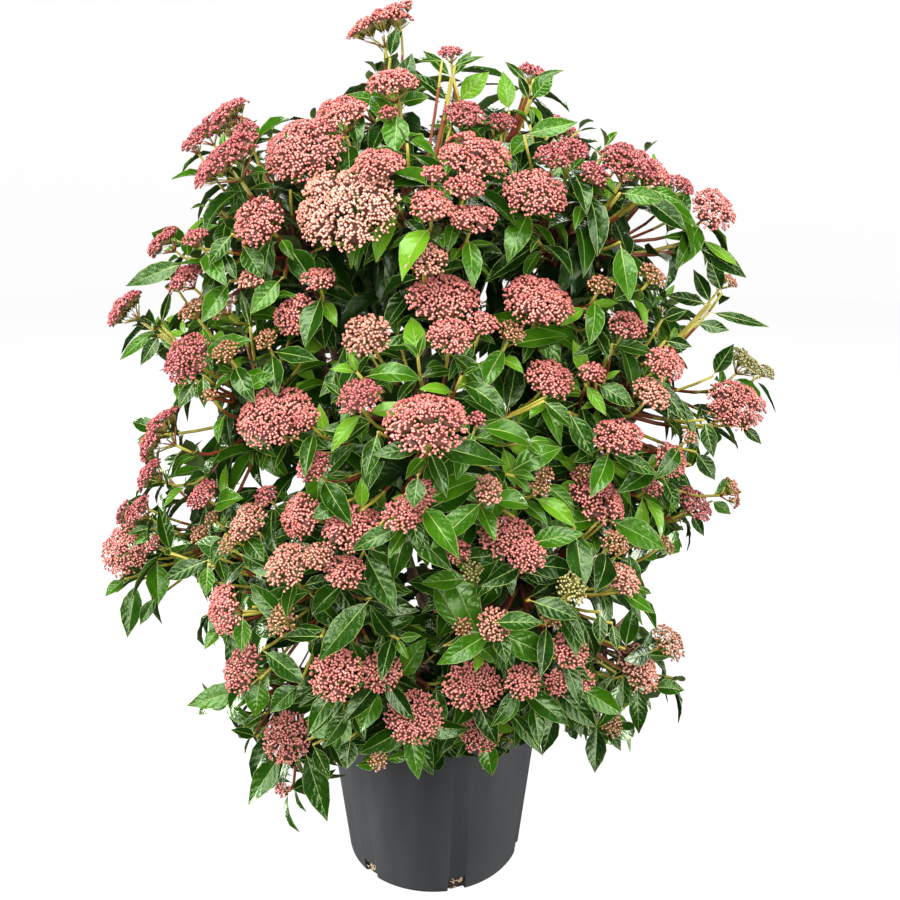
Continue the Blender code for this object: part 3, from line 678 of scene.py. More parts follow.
# Round places of the picture where it shows sky beside or through the crown, or the bare pot:
# across, down and radius in pixels. No shoot ends in one, and no leaf reaches into it
openSky = {
    "top": [
        (325, 76, 26), (411, 45, 15), (283, 112, 9), (422, 110, 10), (305, 108, 9), (352, 70, 12),
        (352, 42, 9), (490, 42, 12), (436, 93, 6), (500, 60, 8), (370, 115, 6), (428, 117, 8),
        (486, 97, 7), (517, 113, 5), (547, 108, 7),
    ],
    "upper right": [
        (600, 100, 20), (640, 116, 26), (678, 150, 22), (702, 168, 14), (660, 262, 6), (692, 275, 9),
        (685, 236, 8), (712, 285, 8), (745, 305, 9), (735, 312, 6), (681, 277, 8), (662, 253, 6),
        (690, 311, 7), (723, 316, 6), (630, 213, 6), (607, 235, 5),
    ],
    "upper left": [
        (190, 192, 14), (165, 210, 18), (168, 303, 10), (187, 292, 8), (146, 250, 12), (212, 268, 6),
        (228, 300, 6), (235, 318, 6), (148, 300, 10), (112, 345, 10), (172, 304, 10), (197, 290, 6),
        (262, 318, 6), (236, 298, 6), (235, 259, 5), (160, 182, 10), (213, 186, 5), (134, 349, 7),
        (186, 224, 9),
    ],
    "right": [
        (758, 300, 24), (778, 330, 20), (705, 350, 22), (690, 388, 18), (650, 425, 16), (735, 330, 12),
        (790, 395, 18), (760, 470, 16), (726, 452, 9), (590, 420, 6), (770, 345, 10), (685, 430, 9),
        (700, 470, 5), (655, 445, 6), (715, 400, 6), (672, 322, 5), (643, 230, 16), (706, 440, 9),
        (733, 431, 6), (704, 485, 9), (690, 478, 6), (681, 419, 5), (752, 517, 12), (707, 451, 9),
    ],
    "left": [
        (142, 365, 16), (160, 396, 18), (202, 415, 16), (100, 510, 16), (125, 488, 10), (182, 600, 24),
        (190, 465, 8), (88, 540, 16), (268, 480, 9), (296, 486, 8), (225, 395, 8), (240, 470, 8),
        (180, 515, 10), (130, 455, 12), (140, 405, 9), (178, 480, 7), (212, 440, 7), (205, 540, 6),
        (120, 610, 10), (170, 600, 10), (250, 484, 9), (189, 473, 7), (141, 422, 6), (182, 414, 6),
        (267, 519, 6), (201, 547, 5),
    ],
    "low right": [
        (720, 545, 30), (745, 575, 24), (690, 580, 26), (655, 578, 14), (700, 612, 22), (590, 612, 10),
        (622, 612, 9), (698, 655, 18), (695, 700, 12), (662, 722, 14), (606, 655, 7), (575, 622, 6),
        (590, 640, 5), (603, 683, 5), (640, 560, 5), (668, 570, 16), (655, 600, 6), (630, 640, 5),
        (612, 760, 12), (620, 613, 8), (648, 616, 9), (586, 626, 6), (628, 718, 7), (652, 691, 5),
    ],
    "low left": [
        (203, 665, 16), (182, 672, 12), (212, 732, 20), (232, 768, 18), (298, 655, 14), (285, 690, 7),
        (165, 650, 24), (300, 715, 8), (318, 690, 5), (335, 785, 10), (275, 812, 12), (228, 752, 12),
        (283, 648, 8), (303, 707, 8), (223, 645, 6), (254, 757, 8), (310, 663, 5),
    ],
    "bottom": [(565, 765, 30), (545, 740, 14), (610, 770, 24)],
    "pot": [
        (365, 805, 32), (400, 790, 22), (430, 805, 28), (470, 795, 26), (510, 805, 26), (545, 800, 24),
        (450, 765, 9), (412, 772, 12), (385, 775, 12), (520, 775, 12),
    ],
}

shoot = {
    "stemTwig": (0.0030, 0.0022),
    "radii": (0.0022, 0.0014),
    "stouter": 22,  # added share of thickness for each metre of head radius over stoutFrom
    "rings": (7, 6),  # rings along a shoot, and corners of each
    "innerRings": (4, 4),
    "straight": 0.45,  # of the way from its start: the length that runs straight to its tip
    "foot": (0.55, 0.42, 0.618),  # where shoots leave a mass's stem: from, span, and step
    "checked": ((0.4, 0.7), 0.5),  # places towards its bend, and past it, held from the sky
    "bodyRadius": 0.0018,  # of the plain bodies that leaves keep clear of
    "bodyRings": (4, 3),
    "ownFoot": 0.004,
    "innerThin": 0.7,
    "stoutFrom": 0.020,
    "redFrom": (0.20, 0.50),  # shares of its length where it turns red, and then green
    "greenFrom": (0.55, 0.95),
}

leafForm = {
    # pairs, from the shoot's tip down: distance back, length against the usual, degrees from
    # the shoot, and droop. The first is the bud of young leaves on a shoot with no flower head
    "pairs": (
        (0.001, 0.34, (12, 30), (0.0, 0.1)),
        (0.010, 0.90, (45, 75), (0.2, 0.9)),
        (0.028, 0.56, (35, 65), (0.1, 0.7)),
        (0.050, 1.00, (45, 75), (0.2, 0.9)),
        (0.074, 1.05, (50, 80), (0.2, 0.9)),
        (0.100, 1.00, (50, 80), (0.2, 0.9)),
    ),
    "length": (0.049, 0.070),
    "width": (0.37, 0.48),  # of the length
    "petiole": 0.007,
    "stalk": 0.0007,
    "stations": (0.0, 0.09, 0.25, 0.46, 0.69, 0.89),  # along the blade
    "shares": (0.045, 0.44, 0.86, 1.0, 0.71, 0.24),  # of its half width
    "rim": 0.0004,
    "rib": 0.0005,
    "thickness": 0.0007,
    "fold": (0.15, 0.50),  # radians that each half is raised
    "curl": (0.20, 1.30),  # radians that the blade bends down over its length
    "twist": 0.45,
    "wave": 0.11,
    "plainStations": (0.0, 0.24, 0.52, 0.80),
    "plainShares": (0.045, 0.85, 0.98, 0.52),
    # shares of each pair that are young, at least bright, and at least mid green
    "tones": (
        (0.55, 0.90, 1.00),
        (0.06, 0.40, 0.90),
        (0.22, 0.65, 1.00),
        (0.00, 0.15, 0.70),
        (0.00, 0.05, 0.45),
        (0.00, 0.00, 0.25),
    ),
    "lowShade": 0.30,  # painted shade: by so much fewer leaves are bright on the masses that are lower than this
    "lowBelow": 0.55,
    "tries": 8,
    "tryTurn": 0.55,
    "faceOut": 0.8,
    "faceUp": 0.6,
    "faceEye": 1.0,
    "underShown": (3, 5),  # the pairs that grow below a leaf that the picture shows
    "offTwig": 0.0008,
    "overSky": -3,  # pixels by which a leaf may show in the open sky
    "shownNearer": 0.012,  # how far its tip is nearer to the camera, for a leaf the picture shows
    "shownCurl": 0.4,
    "shownFold": 0.7,
    "shownWidth": 1.1,
    "shortPetiole": 0.12,  # most of its length
    "edgeShare": 0.3,  # most of the half width that the rim or the rib takes up
    "ribFade": 1.2,
    "ripples": 9,
    "thickShare": 0.6,
    "keel": 0.12,
    "heel": 0.0015,
    "sharpFrom": math.radians(70),
}

headForm = {
    "radius": (0.016, 0.034),
    "stalk": 0.58,  # of the radius: height of the rays below the buds
    "dome": 0.27,
    "puff": 0.13,  # height of each small cluster's own dome
    "budArea": (6.6e-6, 13.5e-6),  # square metres of the head for each bud, in sight and behind
    "openArea": 1.35,  # times as much for each bud of an open head
    "budLength": (0.0028, 0.0035),
    "budWidth": 1.1,
    "pull": 0.07,  # how far buds draw together in their clusters
    "stretch": 0.14,  # how far a head's outline may be from round
    "coreDepth": 0.0020,  # of the core of pedicels and small buds, below the feet of the buds
    "coreShares": (0.0, 0.46, 0.72),  # of a cluster's spread: the rings of its core
    "smaller": 1.3,  # how much more often heads out of sight are small than large
    "leastBuds": 20,
    "scatter": (0.035, 0.12),  # of the buds, in reach and in turn
    "rays": 4,
    "moreRays": (0.012, 0.020, 0.030),  # head radii from which there is one ray more
    "rayReach": 0.62,
    "uneven": 0.06,
    "spread": 0.42,  # of the radius: a cluster's own
    "footScatter": 0.0007,
    "lean": 0.60,
    "hubs": (0.86, 0.55, 0.10),  # reach and height of the rays' ends, and of the core's foot
    "budRings": ((0.50, 0.50), (0.90, 0.29)),  # height and radius, in a bud one unit long
    "budSides": 4,
    "behindLonger": 1.30,
    "rayFoot": 0.002,
    "rayKnee": 0.02,
    "rayRadii": (0.0011, 0.0009, 0.0007),
    "redRays": 0.4,
    "rim": 0.66,  # of the radius, from where every third bud shows its pedicel
    "pedicelIn": 0.0008,
    "pedicelRadius": 0.00045,
    "near": (0.05, 1.8),  # metres, and radii, past which leaves are clear of a head
    "budsFrom": 0.75,  # of the stalk's height: where leaves keep clear of the buds
    "raysFrom": 0.25,
    "rayWidth": 0.9,
}


# colours of the buds by how ripe they are, and for deep also by painted shade: the bud's two tones and
# its cap's, which is partly the bud's real pale tip and partly a painted highlight
budTones = {
    "rose": ((0.405, 0.086, 0.075), (0.540, 0.144, 0.114), (0.660, 0.250, 0.215), (0.800, 0.400, 0.330)),
    # deep: a deeper rose, partly the buds' own colour and partly painted shade for heads in shadow
    "deep": ((0.290, 0.050, 0.055), (0.405, 0.090, 0.086), (0.470, 0.145, 0.140), (0.610, 0.240, 0.215)),
    "pale": ((0.540, 0.180, 0.120), (0.700, 0.280, 0.190), (0.820, 0.460, 0.370), (0.900, 0.600, 0.490)),
    "dusk": ((0.380, 0.125, 0.080), (0.520, 0.190, 0.120), (0.640, 0.320, 0.240), (0.760, 0.440, 0.340)),
    "tan": ((0.250, 0.085, 0.040), (0.380, 0.140, 0.070), (0.500, 0.270, 0.150), (0.640, 0.380, 0.240)),
    "lime": ((0.150, 0.135, 0.028), (0.260, 0.230, 0.055), (0.420, 0.390, 0.140), (0.600, 0.550, 0.250)),
}
openHeads = ("tan", "lime")  # looser heads, whose pedicels all show


skyCircles = np.array([circle for part in openSky.values() for circle in part])


def inSky(points, room=0):
    # Whether any point of each set shows in the open sky
    across, down = pictureOf(points)
    away = np.hypot(across[..., None] - skyCircles[:, 0], down[..., None] - skyCircles[:, 1])
    return (away < skyCircles[:, 2] + room).any(axis=(-1, -2))


def vanDerCorput(number):
    share = 0.0
    step = 0.5
    while number:
        share += step * (number & 1)
        number >>= 1
        step /= 2
    return share


def shootTips(mass, axis, count, taken, spread, reaches, depths):
    # An even spread round an axis, in an order that stays even however many are taken
    across = axis.orthogonal().normalized()
    other = axis.cross(across)
    tips = []
    for number in range(growth["searches"] * count):
        polar = math.acos(1 - (1 - math.cos(spread)) * vanDerCorput(number))
        turn = number * goldenAngle
        ring = across * math.cos(turn) + other * math.sin(turn)
        direction = axis * math.cos(polar) + ring * math.sin(polar)
        draw = random.Random(1000 * mass.number + number)
        reach = draw.uniform(*reaches) * mass.radius
        for depth in depths:
            tip = mass.centre + direction * reach * depth
            spot = np.array([tip])
            if not mass.holds(spot, growth["tipRoom"]) or inSky(spot, growth["skyRoom"]):
                continue
            places = taken + [place for place, _, _ in tips]
            if all((tip - place).length > growth["tipSpacing"] for place in places):
                tips.append((tip, direction, number))
            break
        if len(tips) == count:
            break
    return tips


def headOnCrown(planned, pixelX, pixelY):
    # Where the camera's line through a point of the picture first meets the round of a mass
    heading = sightLine(pixelX, pixelY)
    found = []
    for mass in planned:
        ball = mass.radius * growth["crownRound"]
        towards = mass.centre - camera.location
        along = towards.dot(heading)
        miss = (towards - heading * along).length
        depth = along - math.sqrt(max(0, ball**2 - miss**2))
        place = camera.location + heading * depth
        slack = growth["shownSlack"]
        meets = miss < mass.radius + growth["overrun"] + slack
        if meets and mass.holds(np.array([place]), -slack):
            found.append((depth + max(0, miss - ball) * growth["missCost"], mass, place))
    if not found:
        return None, None
    _, mass, place = min(found, key=lambda entry: entry[0])
    return mass, place


def planShoots(planned):
    # Every shoot as a dictionary, first those whose heads the picture shows
    shoots = []
    firstKeys = growth["firstKeys"]
    shown = {mass.name: [] for mass in planned}
    for part, entries in shownHeads.items():
        for pixelX, pixelY, width, ripeness, *facing in entries:
            mass, place = headOnCrown(planned, pixelX, pixelY)
            if mass is None:
                print("no mass carries the head at", pixelX, pixelY)
                continue
            facing = facing or [np.interp(pixelY, *growth["headElevations"])]
            shown[mass.name].append((place, width / 2000, ripeness, np.radians(facing)))

    shownShoots = planShownLeaves(planned)
    for mass in planned:
        for number, (place, radius, ripeness, facing) in enumerate(shown[mass.name]):
            outward = (place - mass.centre).normalized() * growth["ownOutward"]
            outward += (place - growth["heart"]).normalized()
            turn = facing[1] if len(facing) > 1 else math.atan2(outward.y, outward.x)
            level = math.cos(facing[0])
            rise = Vector((math.cos(turn) * level, math.sin(turn) * level, math.sin(facing[0])))
            tip = place - rise * radius * (headForm["stalk"] + headForm["dome"])
            entry = newShoot(mass, tip, rise, firstKeys["head"] + number, radius, ripeness)
            entry["shown"] = True
            shoots.append(entry)
        taken = [entry["tip"] for entry in shoots if entry["mass"] is mass]
        for entry in [entry for entry in shownShoots if entry["mass"] is mass]:
            shoots.append(entry)
            taken.append(entry["tip"])
        count = round(growth["finer"] * growth["tipsPerArea"] * mass.radius**2)
        spread, reaches, depths = growth["tipSpread"], growth["tipReach"], growth["tipDepths"]
        for tip, direction, number in shootTips(
            mass, mass.outward, count, taken, spread, reaches, depths
        ):
            taken.append(tip)
            rise = (direction + up * growth["rise"]).normalized()
            draw = random.Random(1000 * mass.number + number)
            low, high = headForm["radius"]
            radius = low + (high - low) * draw.random() ** headForm["smaller"]
            ripeness = draw.choice(("rose", "rose", "deep", "deep", "tan"))
            towardsEye = (camera.location - tip).normalized()
            turned = towardsEye.dot(direction) > growth["sightTurn"]
            inSight = turned and tip.y < growth["sightBack"] or tip.y < 0
            inSight = inSight or inSky(np.array([tip]), radius / growth["headRoom"])
            if inSight or draw.random() > growth["headed"]:
                radius = 0.0
            entry = newShoot(mass, tip, rise, number, radius, ripeness)
            start, bend = entry["start"], entry["bend"]
            before, after = shoot["checked"]
            route = [start.lerp(bend, share) for share in before] + [bend, bend.lerp(tip, after)]
            if not inSky(np.array([route]), growth["twigSky"])[0]:
                shoots.append(entry)
        for kind, axis in (("inner", mass.outward), ("inward", -mass.outward)):
            spread, reaches = growth[kind + "Spread"], growth[kind + "Reach"]
            depths = growth["innerDepths"]
            tips = shootTips(mass, axis, growth[kind], taken, spread, reaches, depths)
            for tip, direction, number in tips:
                taken.append(tip)
                rise = (direction + up * growth["rise"]).normalized()
                entry = newShoot(mass, tip, rise, firstKeys[kind] + number, 0.0, "deep")
                entry["inner"] = True
                shoots.append(entry)
    return shoots


def planShownLeaves(planned):
    # A shoot for each leaf that the picture shows, which ends at that leaf's root
    shoots = []
    entries = [row for rows in shownLeaves.values() for row in rows]
    for number, (rootX, rootY, tipX, tipY, width, tone) in enumerate(entries):
        mass, place = headOnCrown(planned, rootX, rootY)
        if mass is None:
            print("no mass carries the leaf at", rootX, rootY)
            continue
        outward = (place - mass.centre).normalized()
        rise = (outward + up * growth["rise"]).normalized()
        back = (place - camera.location).normalized() * growth["leafDepths"][0]
        key = growth["firstKeys"]["leaf"] + number
        entry = newShoot(mass, place + back, rise, key, 0.0, "deep")
        entry["shown"] = True
        entry["leaf"] = (rootX, rootY, tipX, tipY, width, tone)
        shoots.append(entry)
    return shoots


def newShoot(mass, tip, rise, number, radius, ripeness):
    low, span, step = shoot["foot"]
    start = mass.base.lerp(mass.stemEnd, low + span * (number * step % 1))
    bend = tip - rise * (tip - start).length * shoot["straight"]
    return {
        "mass": mass,
        "start": start,
        "bend": bend,
        "tip": tip,
        "rise": rise,
        "key": 1000 * mass.number + number,
        "radius": radius,
        "ripeness": ripeness,
        "shown": False,
        "inner": False,
        "leaf": None,
        "top": 1.0,
    }


def keepOffTree():
    # Everything hard that foliage may not touch, as one searchable surface
    points = []
    faces = []
    for name, node in nodes.items():
        if not name.startswith("foliage_"):
            first = len(points)
            points += [vertex.co.copy() for vertex in node.data.vertices]
            faces += [[first + corner for corner in face.vertices] for face in node.data.polygons]
    return BVHTree.FromPolygons(points, faces)


def leafFaces(plain):
    # Faces of one leaf, with the role of each: 0 blade, 1 rim and rib, 2 underside, 3 stalk.
    # A plain leaf, for the shade, has no rim or rib and fewer rings
    roles = (0, 0, 2, 2) if plain else (1, 0, 1, 0, 1, 2, 2)
    rings = len(leafForm["plainStations"] if plain else leafForm["stations"])
    columns = len(roles)
    faces = []
    kinds = []
    last = 1 + columns * rings
    for column in range(columns):
        after = (column + 1) % columns
        faces.append((0, 1 + column, 1 + after))
        kinds.append(3)
        for ring in range(rings - 1):
            low = 1 + columns * ring
            high = low + columns
            face = (low + column, high + column, high + after, low + after)
            if roles[column] == 2:  # the underside folds along the same diagonals as the blade
                face = (*face[1:], face[0])
            faces.append(face)
            kinds.append(roles[column])
        faces.append((last, last - columns + after, last - columns + column))
        kinds.append(roles[column])
    return faces, np.array(kinds)


def leafMarks(plain):
    # Across (0.5 on the midrib) and along the blade, for each point
    across = (0.0, 0.5, 1.0, 0.5) if plain else (0.0, 0.04, 0.48, 0.52, 0.96, 1.0, 0.5)
    marks = [(0.5, 0.0)]
    for station in leafForm["plainStations"] if plain else leafForm["stations"]:
        marks += [(side, station) for side in across]
    return np.array(marks + [(0.5, 1.0)])


def leafPoints(leaves, plain):
    # Points of every leaf: leaves holds one array for each of the measures of leafRows
    root, along, facing = leaves["root"], leaves["along"], leaves["facing"]
    side = np.cross(facing, along)
    stations = leafForm["plainStations" if plain else "stations"]
    stations = np.array(stations + (1.0,))[None]
    shares = np.array(leafForm["plainShares" if plain else "shares"] + (0.0,))[None]
    length = leaves["length"][:, None]
    half = length * leaves["width"][:, None] / 2 * shares
    half[:, 0] = leafForm["stalk"]
    curl = leaves["curl"][:, None]
    bend = curl * stations
    petiole = np.minimum(leafForm["petiole"], length * leafForm["shortPetiole"])
    forward = petiole + length * np.sin(bend) / curl
    down = length * (1 - np.cos(bend)) / curl

    def mix(first, second, a, b):
        return first[:, None] * a[..., None] + second[:, None] * b[..., None]

    middle = root[:, None] + mix(along, facing, forward, -down)
    normal = mix(facing, along, np.cos(bend), np.sin(bend))
    roll = leaves["twist"][:, None] * stations
    flat = side[:, None] * np.cos(roll)[..., None] + normal * np.sin(roll)[..., None]
    lift = normal * np.cos(roll)[..., None] - side[:, None] * np.sin(roll)[..., None]

    fold = leaves["fold"][:, None]
    columns = []
    rim = np.minimum(leafForm["rim"], half * leafForm["edgeShare"])
    rib = leafForm["rib"] * (leafForm["ribFade"] - stations)
    rib = np.minimum(rib, half * leafForm["edgeShare"])
    spans = [(-1, half), (-1, half - rim), (-1, rib), (1, rib), (1, half - rim), (1, half)]
    if plain:
        spans = [(-1, half), (0, half * 0), (1, half)]
    for sign, offset in spans:
        ripple = np.sin(leafForm["ripples"] * stations + leaves["phase"][:, None] + sign)
        ripple = ripple * leafForm["wave"]
        raised = offset * np.sin(fold) + ripple * offset**2 / np.maximum(half, 1e-6)
        spot = middle + flat * (sign * offset * np.cos(fold))[..., None]
        columns.append(spot + lift * raised[..., None])
    under = np.minimum(leafForm["thickness"], half * leafForm["thickShare"])
    under = under + half * np.sin(fold) * leafForm["keel"]
    columns.append(middle - lift * under[..., None])
    rings = np.stack(columns, axis=2)[:, :-1]
    body = rings.reshape(len(root), -1, 3)
    heel = root - along * leafForm["heel"]
    return np.concatenate([heel[:, None], body, middle[:, -1:]], axis=1)


def leafRows(roots, along, light, share, scale):
    # The measures of some leaves, with their upper faces to the light
    return {
        "root": roots,
        "along": along,
        "facing": unit(light - along * (light * along).sum(-1, keepdims=True)),
        "length": between(leafForm["length"], share[0]) * scale,
        "width": between(leafForm["width"], share[1]),
        "fold": between(leafForm["fold"], share[2]),
        "curl": between(leafForm["curl"], share[3]),
        "twist": (2 * share[4] - 1) * leafForm["twist"],
        "phase": math.tau * share[5],
    }


def leafTries(entry, pair, side):
    # Ways for one leaf of a pair to grow, each drooping with its upper face to the light
    back, scale, spread, droop = leafForm["pairs"][pair]
    tries = leafForm["tries"]
    share = np.random.default_rng((entry["key"], pair, side)).random((8, tries))
    rise = np.array(entry["rise"])
    across, other = framesAlong(rise)
    turn = entry["key"] + math.pi * (pair / 2 + side) + np.arange(tries) * leafForm["tryTurn"]
    sideways = np.cos(turn)[:, None] * across + np.sin(turn)[:, None] * other
    splay = np.radians(between(spread, share[6]))[:, None]
    direction = rise * np.cos(splay) + sideways * np.sin(splay)
    direction = unit(direction - np.array(up) * between(droop, share[7])[:, None])
    spot = np.array(shootSpot(entry, shootShare(entry, back)))
    light = unit(spot - growth["heart"]) * leafForm["faceOut"] + np.array(up) * leafForm["faceUp"]
    return leafRows(spot + sideways * leafForm["offTwig"], direction, light, share, scale)


def shownLeafTries(entry):
    # The leaf that the picture shows at a shoot's end, at a few depths
    rootX, rootY, tipX, tipY, width, _ = entry["leaf"]
    tries = len(growth["leafDepths"])
    share = np.tile(np.random.default_rng(entry["key"]).random((6, 1)), tries)
    forward = sightLine(view["picture"] / 2, view["picture"] / 2)
    back = np.array(growth["leafDepths"]) - growth["leafDepths"][0]
    roots = []
    tips = []
    for offset in back:
        depth = (entry["tip"] - camera.location).dot(forward) + offset
        heading = sightLine(rootX, rootY)
        roots.append(camera.location + heading * depth / heading.dot(forward))
        heading = sightLine(tipX, tipY)
        near = depth - leafForm["shownNearer"]
        tips.append(camera.location + heading * near / heading.dot(forward))
    roots, tips = np.array(roots), np.array(tips)
    towardsEye = unit(np.array(camera.location) - roots)
    light = towardsEye * leafForm["faceEye"] + np.array(up) * leafForm["faceUp"]
    leaf = leafRows(roots, unit(tips - roots), light, share, 1.0)
    leaf["curl"] = leaf["curl"] * leafForm["shownCurl"]
    leaf["fold"] = leaf["fold"] * leafForm["shownFold"]
    leaf["length"] = np.linalg.norm(tips - roots, axis=1)
    leaf["width"] = np.full(tries, width * leafForm["shownWidth"])
    return leaf


def shootShare(entry, back):
    # How far along its curve a shoot is at a distance back from its tip
    reach = 2 * (entry["tip"] - entry["bend"]).length
    t = max(0.0, 1 - back / reach)
    for _ in range(3):
        spot = shootSpot(entry, t)
        t = max(0.0, min(1.0, t + ((spot - entry["tip"]).length - back) / reach))
    return t


def shootSpot(entry, t):
    return entry["start"] * (1 - t) ** 2 + entry["bend"] * 2 * t * (1 - t) + entry["tip"] * t * t


def insideHeads(points, heads):
    # Whether any point lies in a flower head's buds or rays
    away = heads["centre"] - points.mean(axis=0)
    least, radii = headForm["near"]
    near = np.einsum("ij,ij->i", away, away) < (least + radii * heads["radius"]) ** 2
    if not near.any():
        return False
    centre, axis, radius = heads["centre"][near], heads["axis"][near], heads["radius"][near]
    away = points[None] - centre[:, None]
    height = (away * axis[:, None]).sum(-1)
    flat = np.sqrt(np.maximum((away**2).sum(-1) - height**2, 0))
    low = headForm["stalk"] * radius[:, None]
    high = (headForm["stalk"] + headForm["dome"] + headForm["puff"]) * radius[:, None]
    buds = (flat < radius[:, None]) & (height > low * headForm["budsFrom"]) & (height < high)
    cone = flat < radius[:, None] * headForm["rayWidth"] * height / low
    rays = cone & (height > low * headForm["raysFrom"]) & (height < low)
    return bool((buds | rays).any())


class Crowd:
    # Bodies that may not touch, as search trees with a ball round each to find the near ones
    def __init__(self, size):
        self.trees = []
        self.owners = []
        self.middles = np.zeros((size, 3))
        self.reaches = np.zeros(size)

    def add(self, tree, points, owner):
        low, high = points.min(axis=0), points.max(axis=0)
        self.middles[len(self.trees)] = (low + high) / 2
        self.reaches[len(self.trees)] = np.linalg.norm(high - low) / 2
        self.trees.append(tree)
        self.owners.append(owner)

    def touches(self, tree, points, owner):
        low, high = points.min(axis=0), points.max(axis=0)
        away = self.middles[: len(self.trees)] - (low + high) / 2
        reach = self.reaches[: len(self.trees)] + np.linalg.norm(high - low) / 2
        near = np.nonzero(np.einsum("ij,ij->i", away, away) < reach**2)[0]
        others = [index for index in near if self.owners[index] != owner]
        return any(tree.overlap(self.trees[index]) for index in others)


def growLeaves(shoots, keepOff):
    headed = [entry for entry in shoots if entry["radius"]]
    heads = {
        "centre": np.array([entry["tip"] for entry in headed]),
        "axis": np.array([entry["rise"] for entry in headed]),
        "radius": np.array([entry["radius"] for entry in headed]),
    }
    faces, _ = leafFaces(True)
    count, sides = shoot["bodyRings"]
    tube = tubeFaces(count, sides)
    ends = [np.array([entry[key] for entry in shoots]) for key in ("start", "bend", "tip")]
    routes = curveRoutes(*ends, count)
    bodies = tubePoints(routes, np.full(routes.shape[:2], shoot["bodyRadius"]), sides)
    crowd = Crowd(len(shoots) * (1 + 2 * len(leafForm["pairs"])))
    for body, entry in zip(bodies, shoots):
        crowd.add(BVHTree.FromPolygons(body.tolist(), tube), body, entry["key"])
    leaves = []

    def growOne(entry, pair, tries, shapes, free):
        # The first of the free tries that touches nothing else becomes a leaf
        for number in np.nonzero(free)[0]:
            points = shapes[number]
            if insideHeads(points, heads):
                continue
            tree = BVHTree.FromPolygons(points.tolist(), faces)
            if tree.overlap(keepOff) or crowd.touches(tree, points, entry["key"]):
                continue
            crowd.add(tree, points, None)
            leaf = {key: values[number : number + 1] for key, values in tries.items()}
            leaf["pair"] = pair
            leaf["entry"] = entry
            leaves.append(leaf)
            return

    for entry in shoots:
        if entry["leaf"]:
            tries = shownLeafTries(entry)
            free = np.full(len(growth["leafDepths"]), True)
            growOne(entry, 0, tries, leafPoints(tries, True), free)
    print(len(leaves), "of the leaves that the picture shows")
    for pair in range(len(leafForm["pairs"])):
        for entry in shoots:
            hidden = entry["leaf"] and pair not in leafForm["underShown"]
            if hidden or pair == 0 and entry["radius"]:
                continue
            slack = growth["shownSlack"] if entry["shown"] else 0
            for side in (0, 1):
                tries = leafTries(entry, pair, side)
                shapes = leafPoints(tries, True)
                free = entry["mass"].holds(shapes, -slack, growth["leafSlack"])
                if free.any():
                    free &= ~inSky(shapes, leafForm["overSky"]) & ~inSky(shapes[:, -1:])
                    growOne(entry, pair, tries, shapes, free)
    return leaves


def trimShoots(shoots, leaves):
    # A shoot with no flower head ends at its topmost leaves, and one without leaves is left out
    for entry in shoots:
        pairs = [leaf["pair"] for leaf in leaves if leaf["entry"] is entry]
        if not entry["radius"]:
            entry["top"] = shootShare(entry, leafForm["pairs"][min(pairs)][0] - 0.001) if pairs else 0
    return [entry for entry in shoots if entry["top"]]


def sector(mass):
    # The piece that a mass's leaves and buds go to: its tier, and front or back
    tier = mass.name.split("_")[0]
    tier = "upper" if tier == "top" else tier
    return tier + ("_front" if mass.centre.y < growth["frontBefore"] else "_back")


def leafTone(leaf):
    # 0 deep, 1 mid, 2 bright, 3 young: leaves near the tips are brighter than the old ones below
    # Painted shade: the leaves of the inner shoots, deep in the crown, take the darkest tone
    if leaf["entry"]["inner"]:
        return 0
    if leaf["entry"]["leaf"] and leaf["pair"] == 0:
        return leaf["entry"]["leaf"][-1]
    share = random.Random(10 * leaf["entry"]["key"] + leaf["pair"]).random()
    # Painted shade: the masses low in the crown, shaded by the crown above, have fewer bright leaves
    share += leafForm["lowShade"] * (leaf["entry"]["mass"].centre.z < leafForm["lowBelow"])
    bright, mid, deep = leafForm["tones"][leaf["pair"]]
    return 3 - (share > bright) - (share > mid) - (share > deep)


def makeLeaves(leaves, plain, kind, finishes):
    faces, kinds = leafFaces(plain)
    marks = leafMarks(plain)
    wanted = [leaf for leaf in leaves if leaf["entry"]["inner"] == plain]
    for name in sorted({sector(leaf["entry"]["mass"]) for leaf in wanted}):
        chosen = [leaf for leaf in wanted if sector(leaf["entry"]["mass"]) == name]
        keys = ("root", "along", "facing", "length", "width", "fold", "curl", "twist", "phase")
        table = {key: np.concatenate([leaf[key] for leaf in chosen]) for key in keys}
        tones = np.array([leafTone(leaf) for leaf in chosen])
        slots = np.where(kinds[None] == 0, tones[:, None], kinds[None] + 3)
        piece = arrayMesh(kind + name, leafPoints(table, plain), faces, slots, finishes, marks)
        piece.data.set_sharp_from_angle(angle=leafForm["sharpFrom"])
        dress(piece, name)


def dress(piece, name):
    # A piece of foliage rides with the plant and stands for the masses of its sector
    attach(piece, "root")
    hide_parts(*["foliage_" + mass.name for mass in crown if sector(mass) == name])


def budTemplate(sides):
    # A bud with its foot at the origin, one unit long and one unit across, and its pale cap, which is
    # partly the bud's real pale tip and partly a painted highlight
    points = [(0, 0, 0)]
    for height, radius in headForm["budRings"]:
        for turn in range(sides):
            angle = math.tau * turn / sides
            points.append((radius * math.cos(angle), radius * math.sin(angle), height))
    faces = [tuple(range(1 + sides, 1 + 2 * sides))]
    kinds = [1]
    for turn in range(sides):
        low, lowAfter = 1 + turn, 1 + (turn + 1) % sides
        faces.append((0, lowAfter, low))
        faces.append((low, lowAfter, lowAfter + sides, low + sides))
        kinds += [0, 0]
    return np.array(points), faces, np.array(kinds)


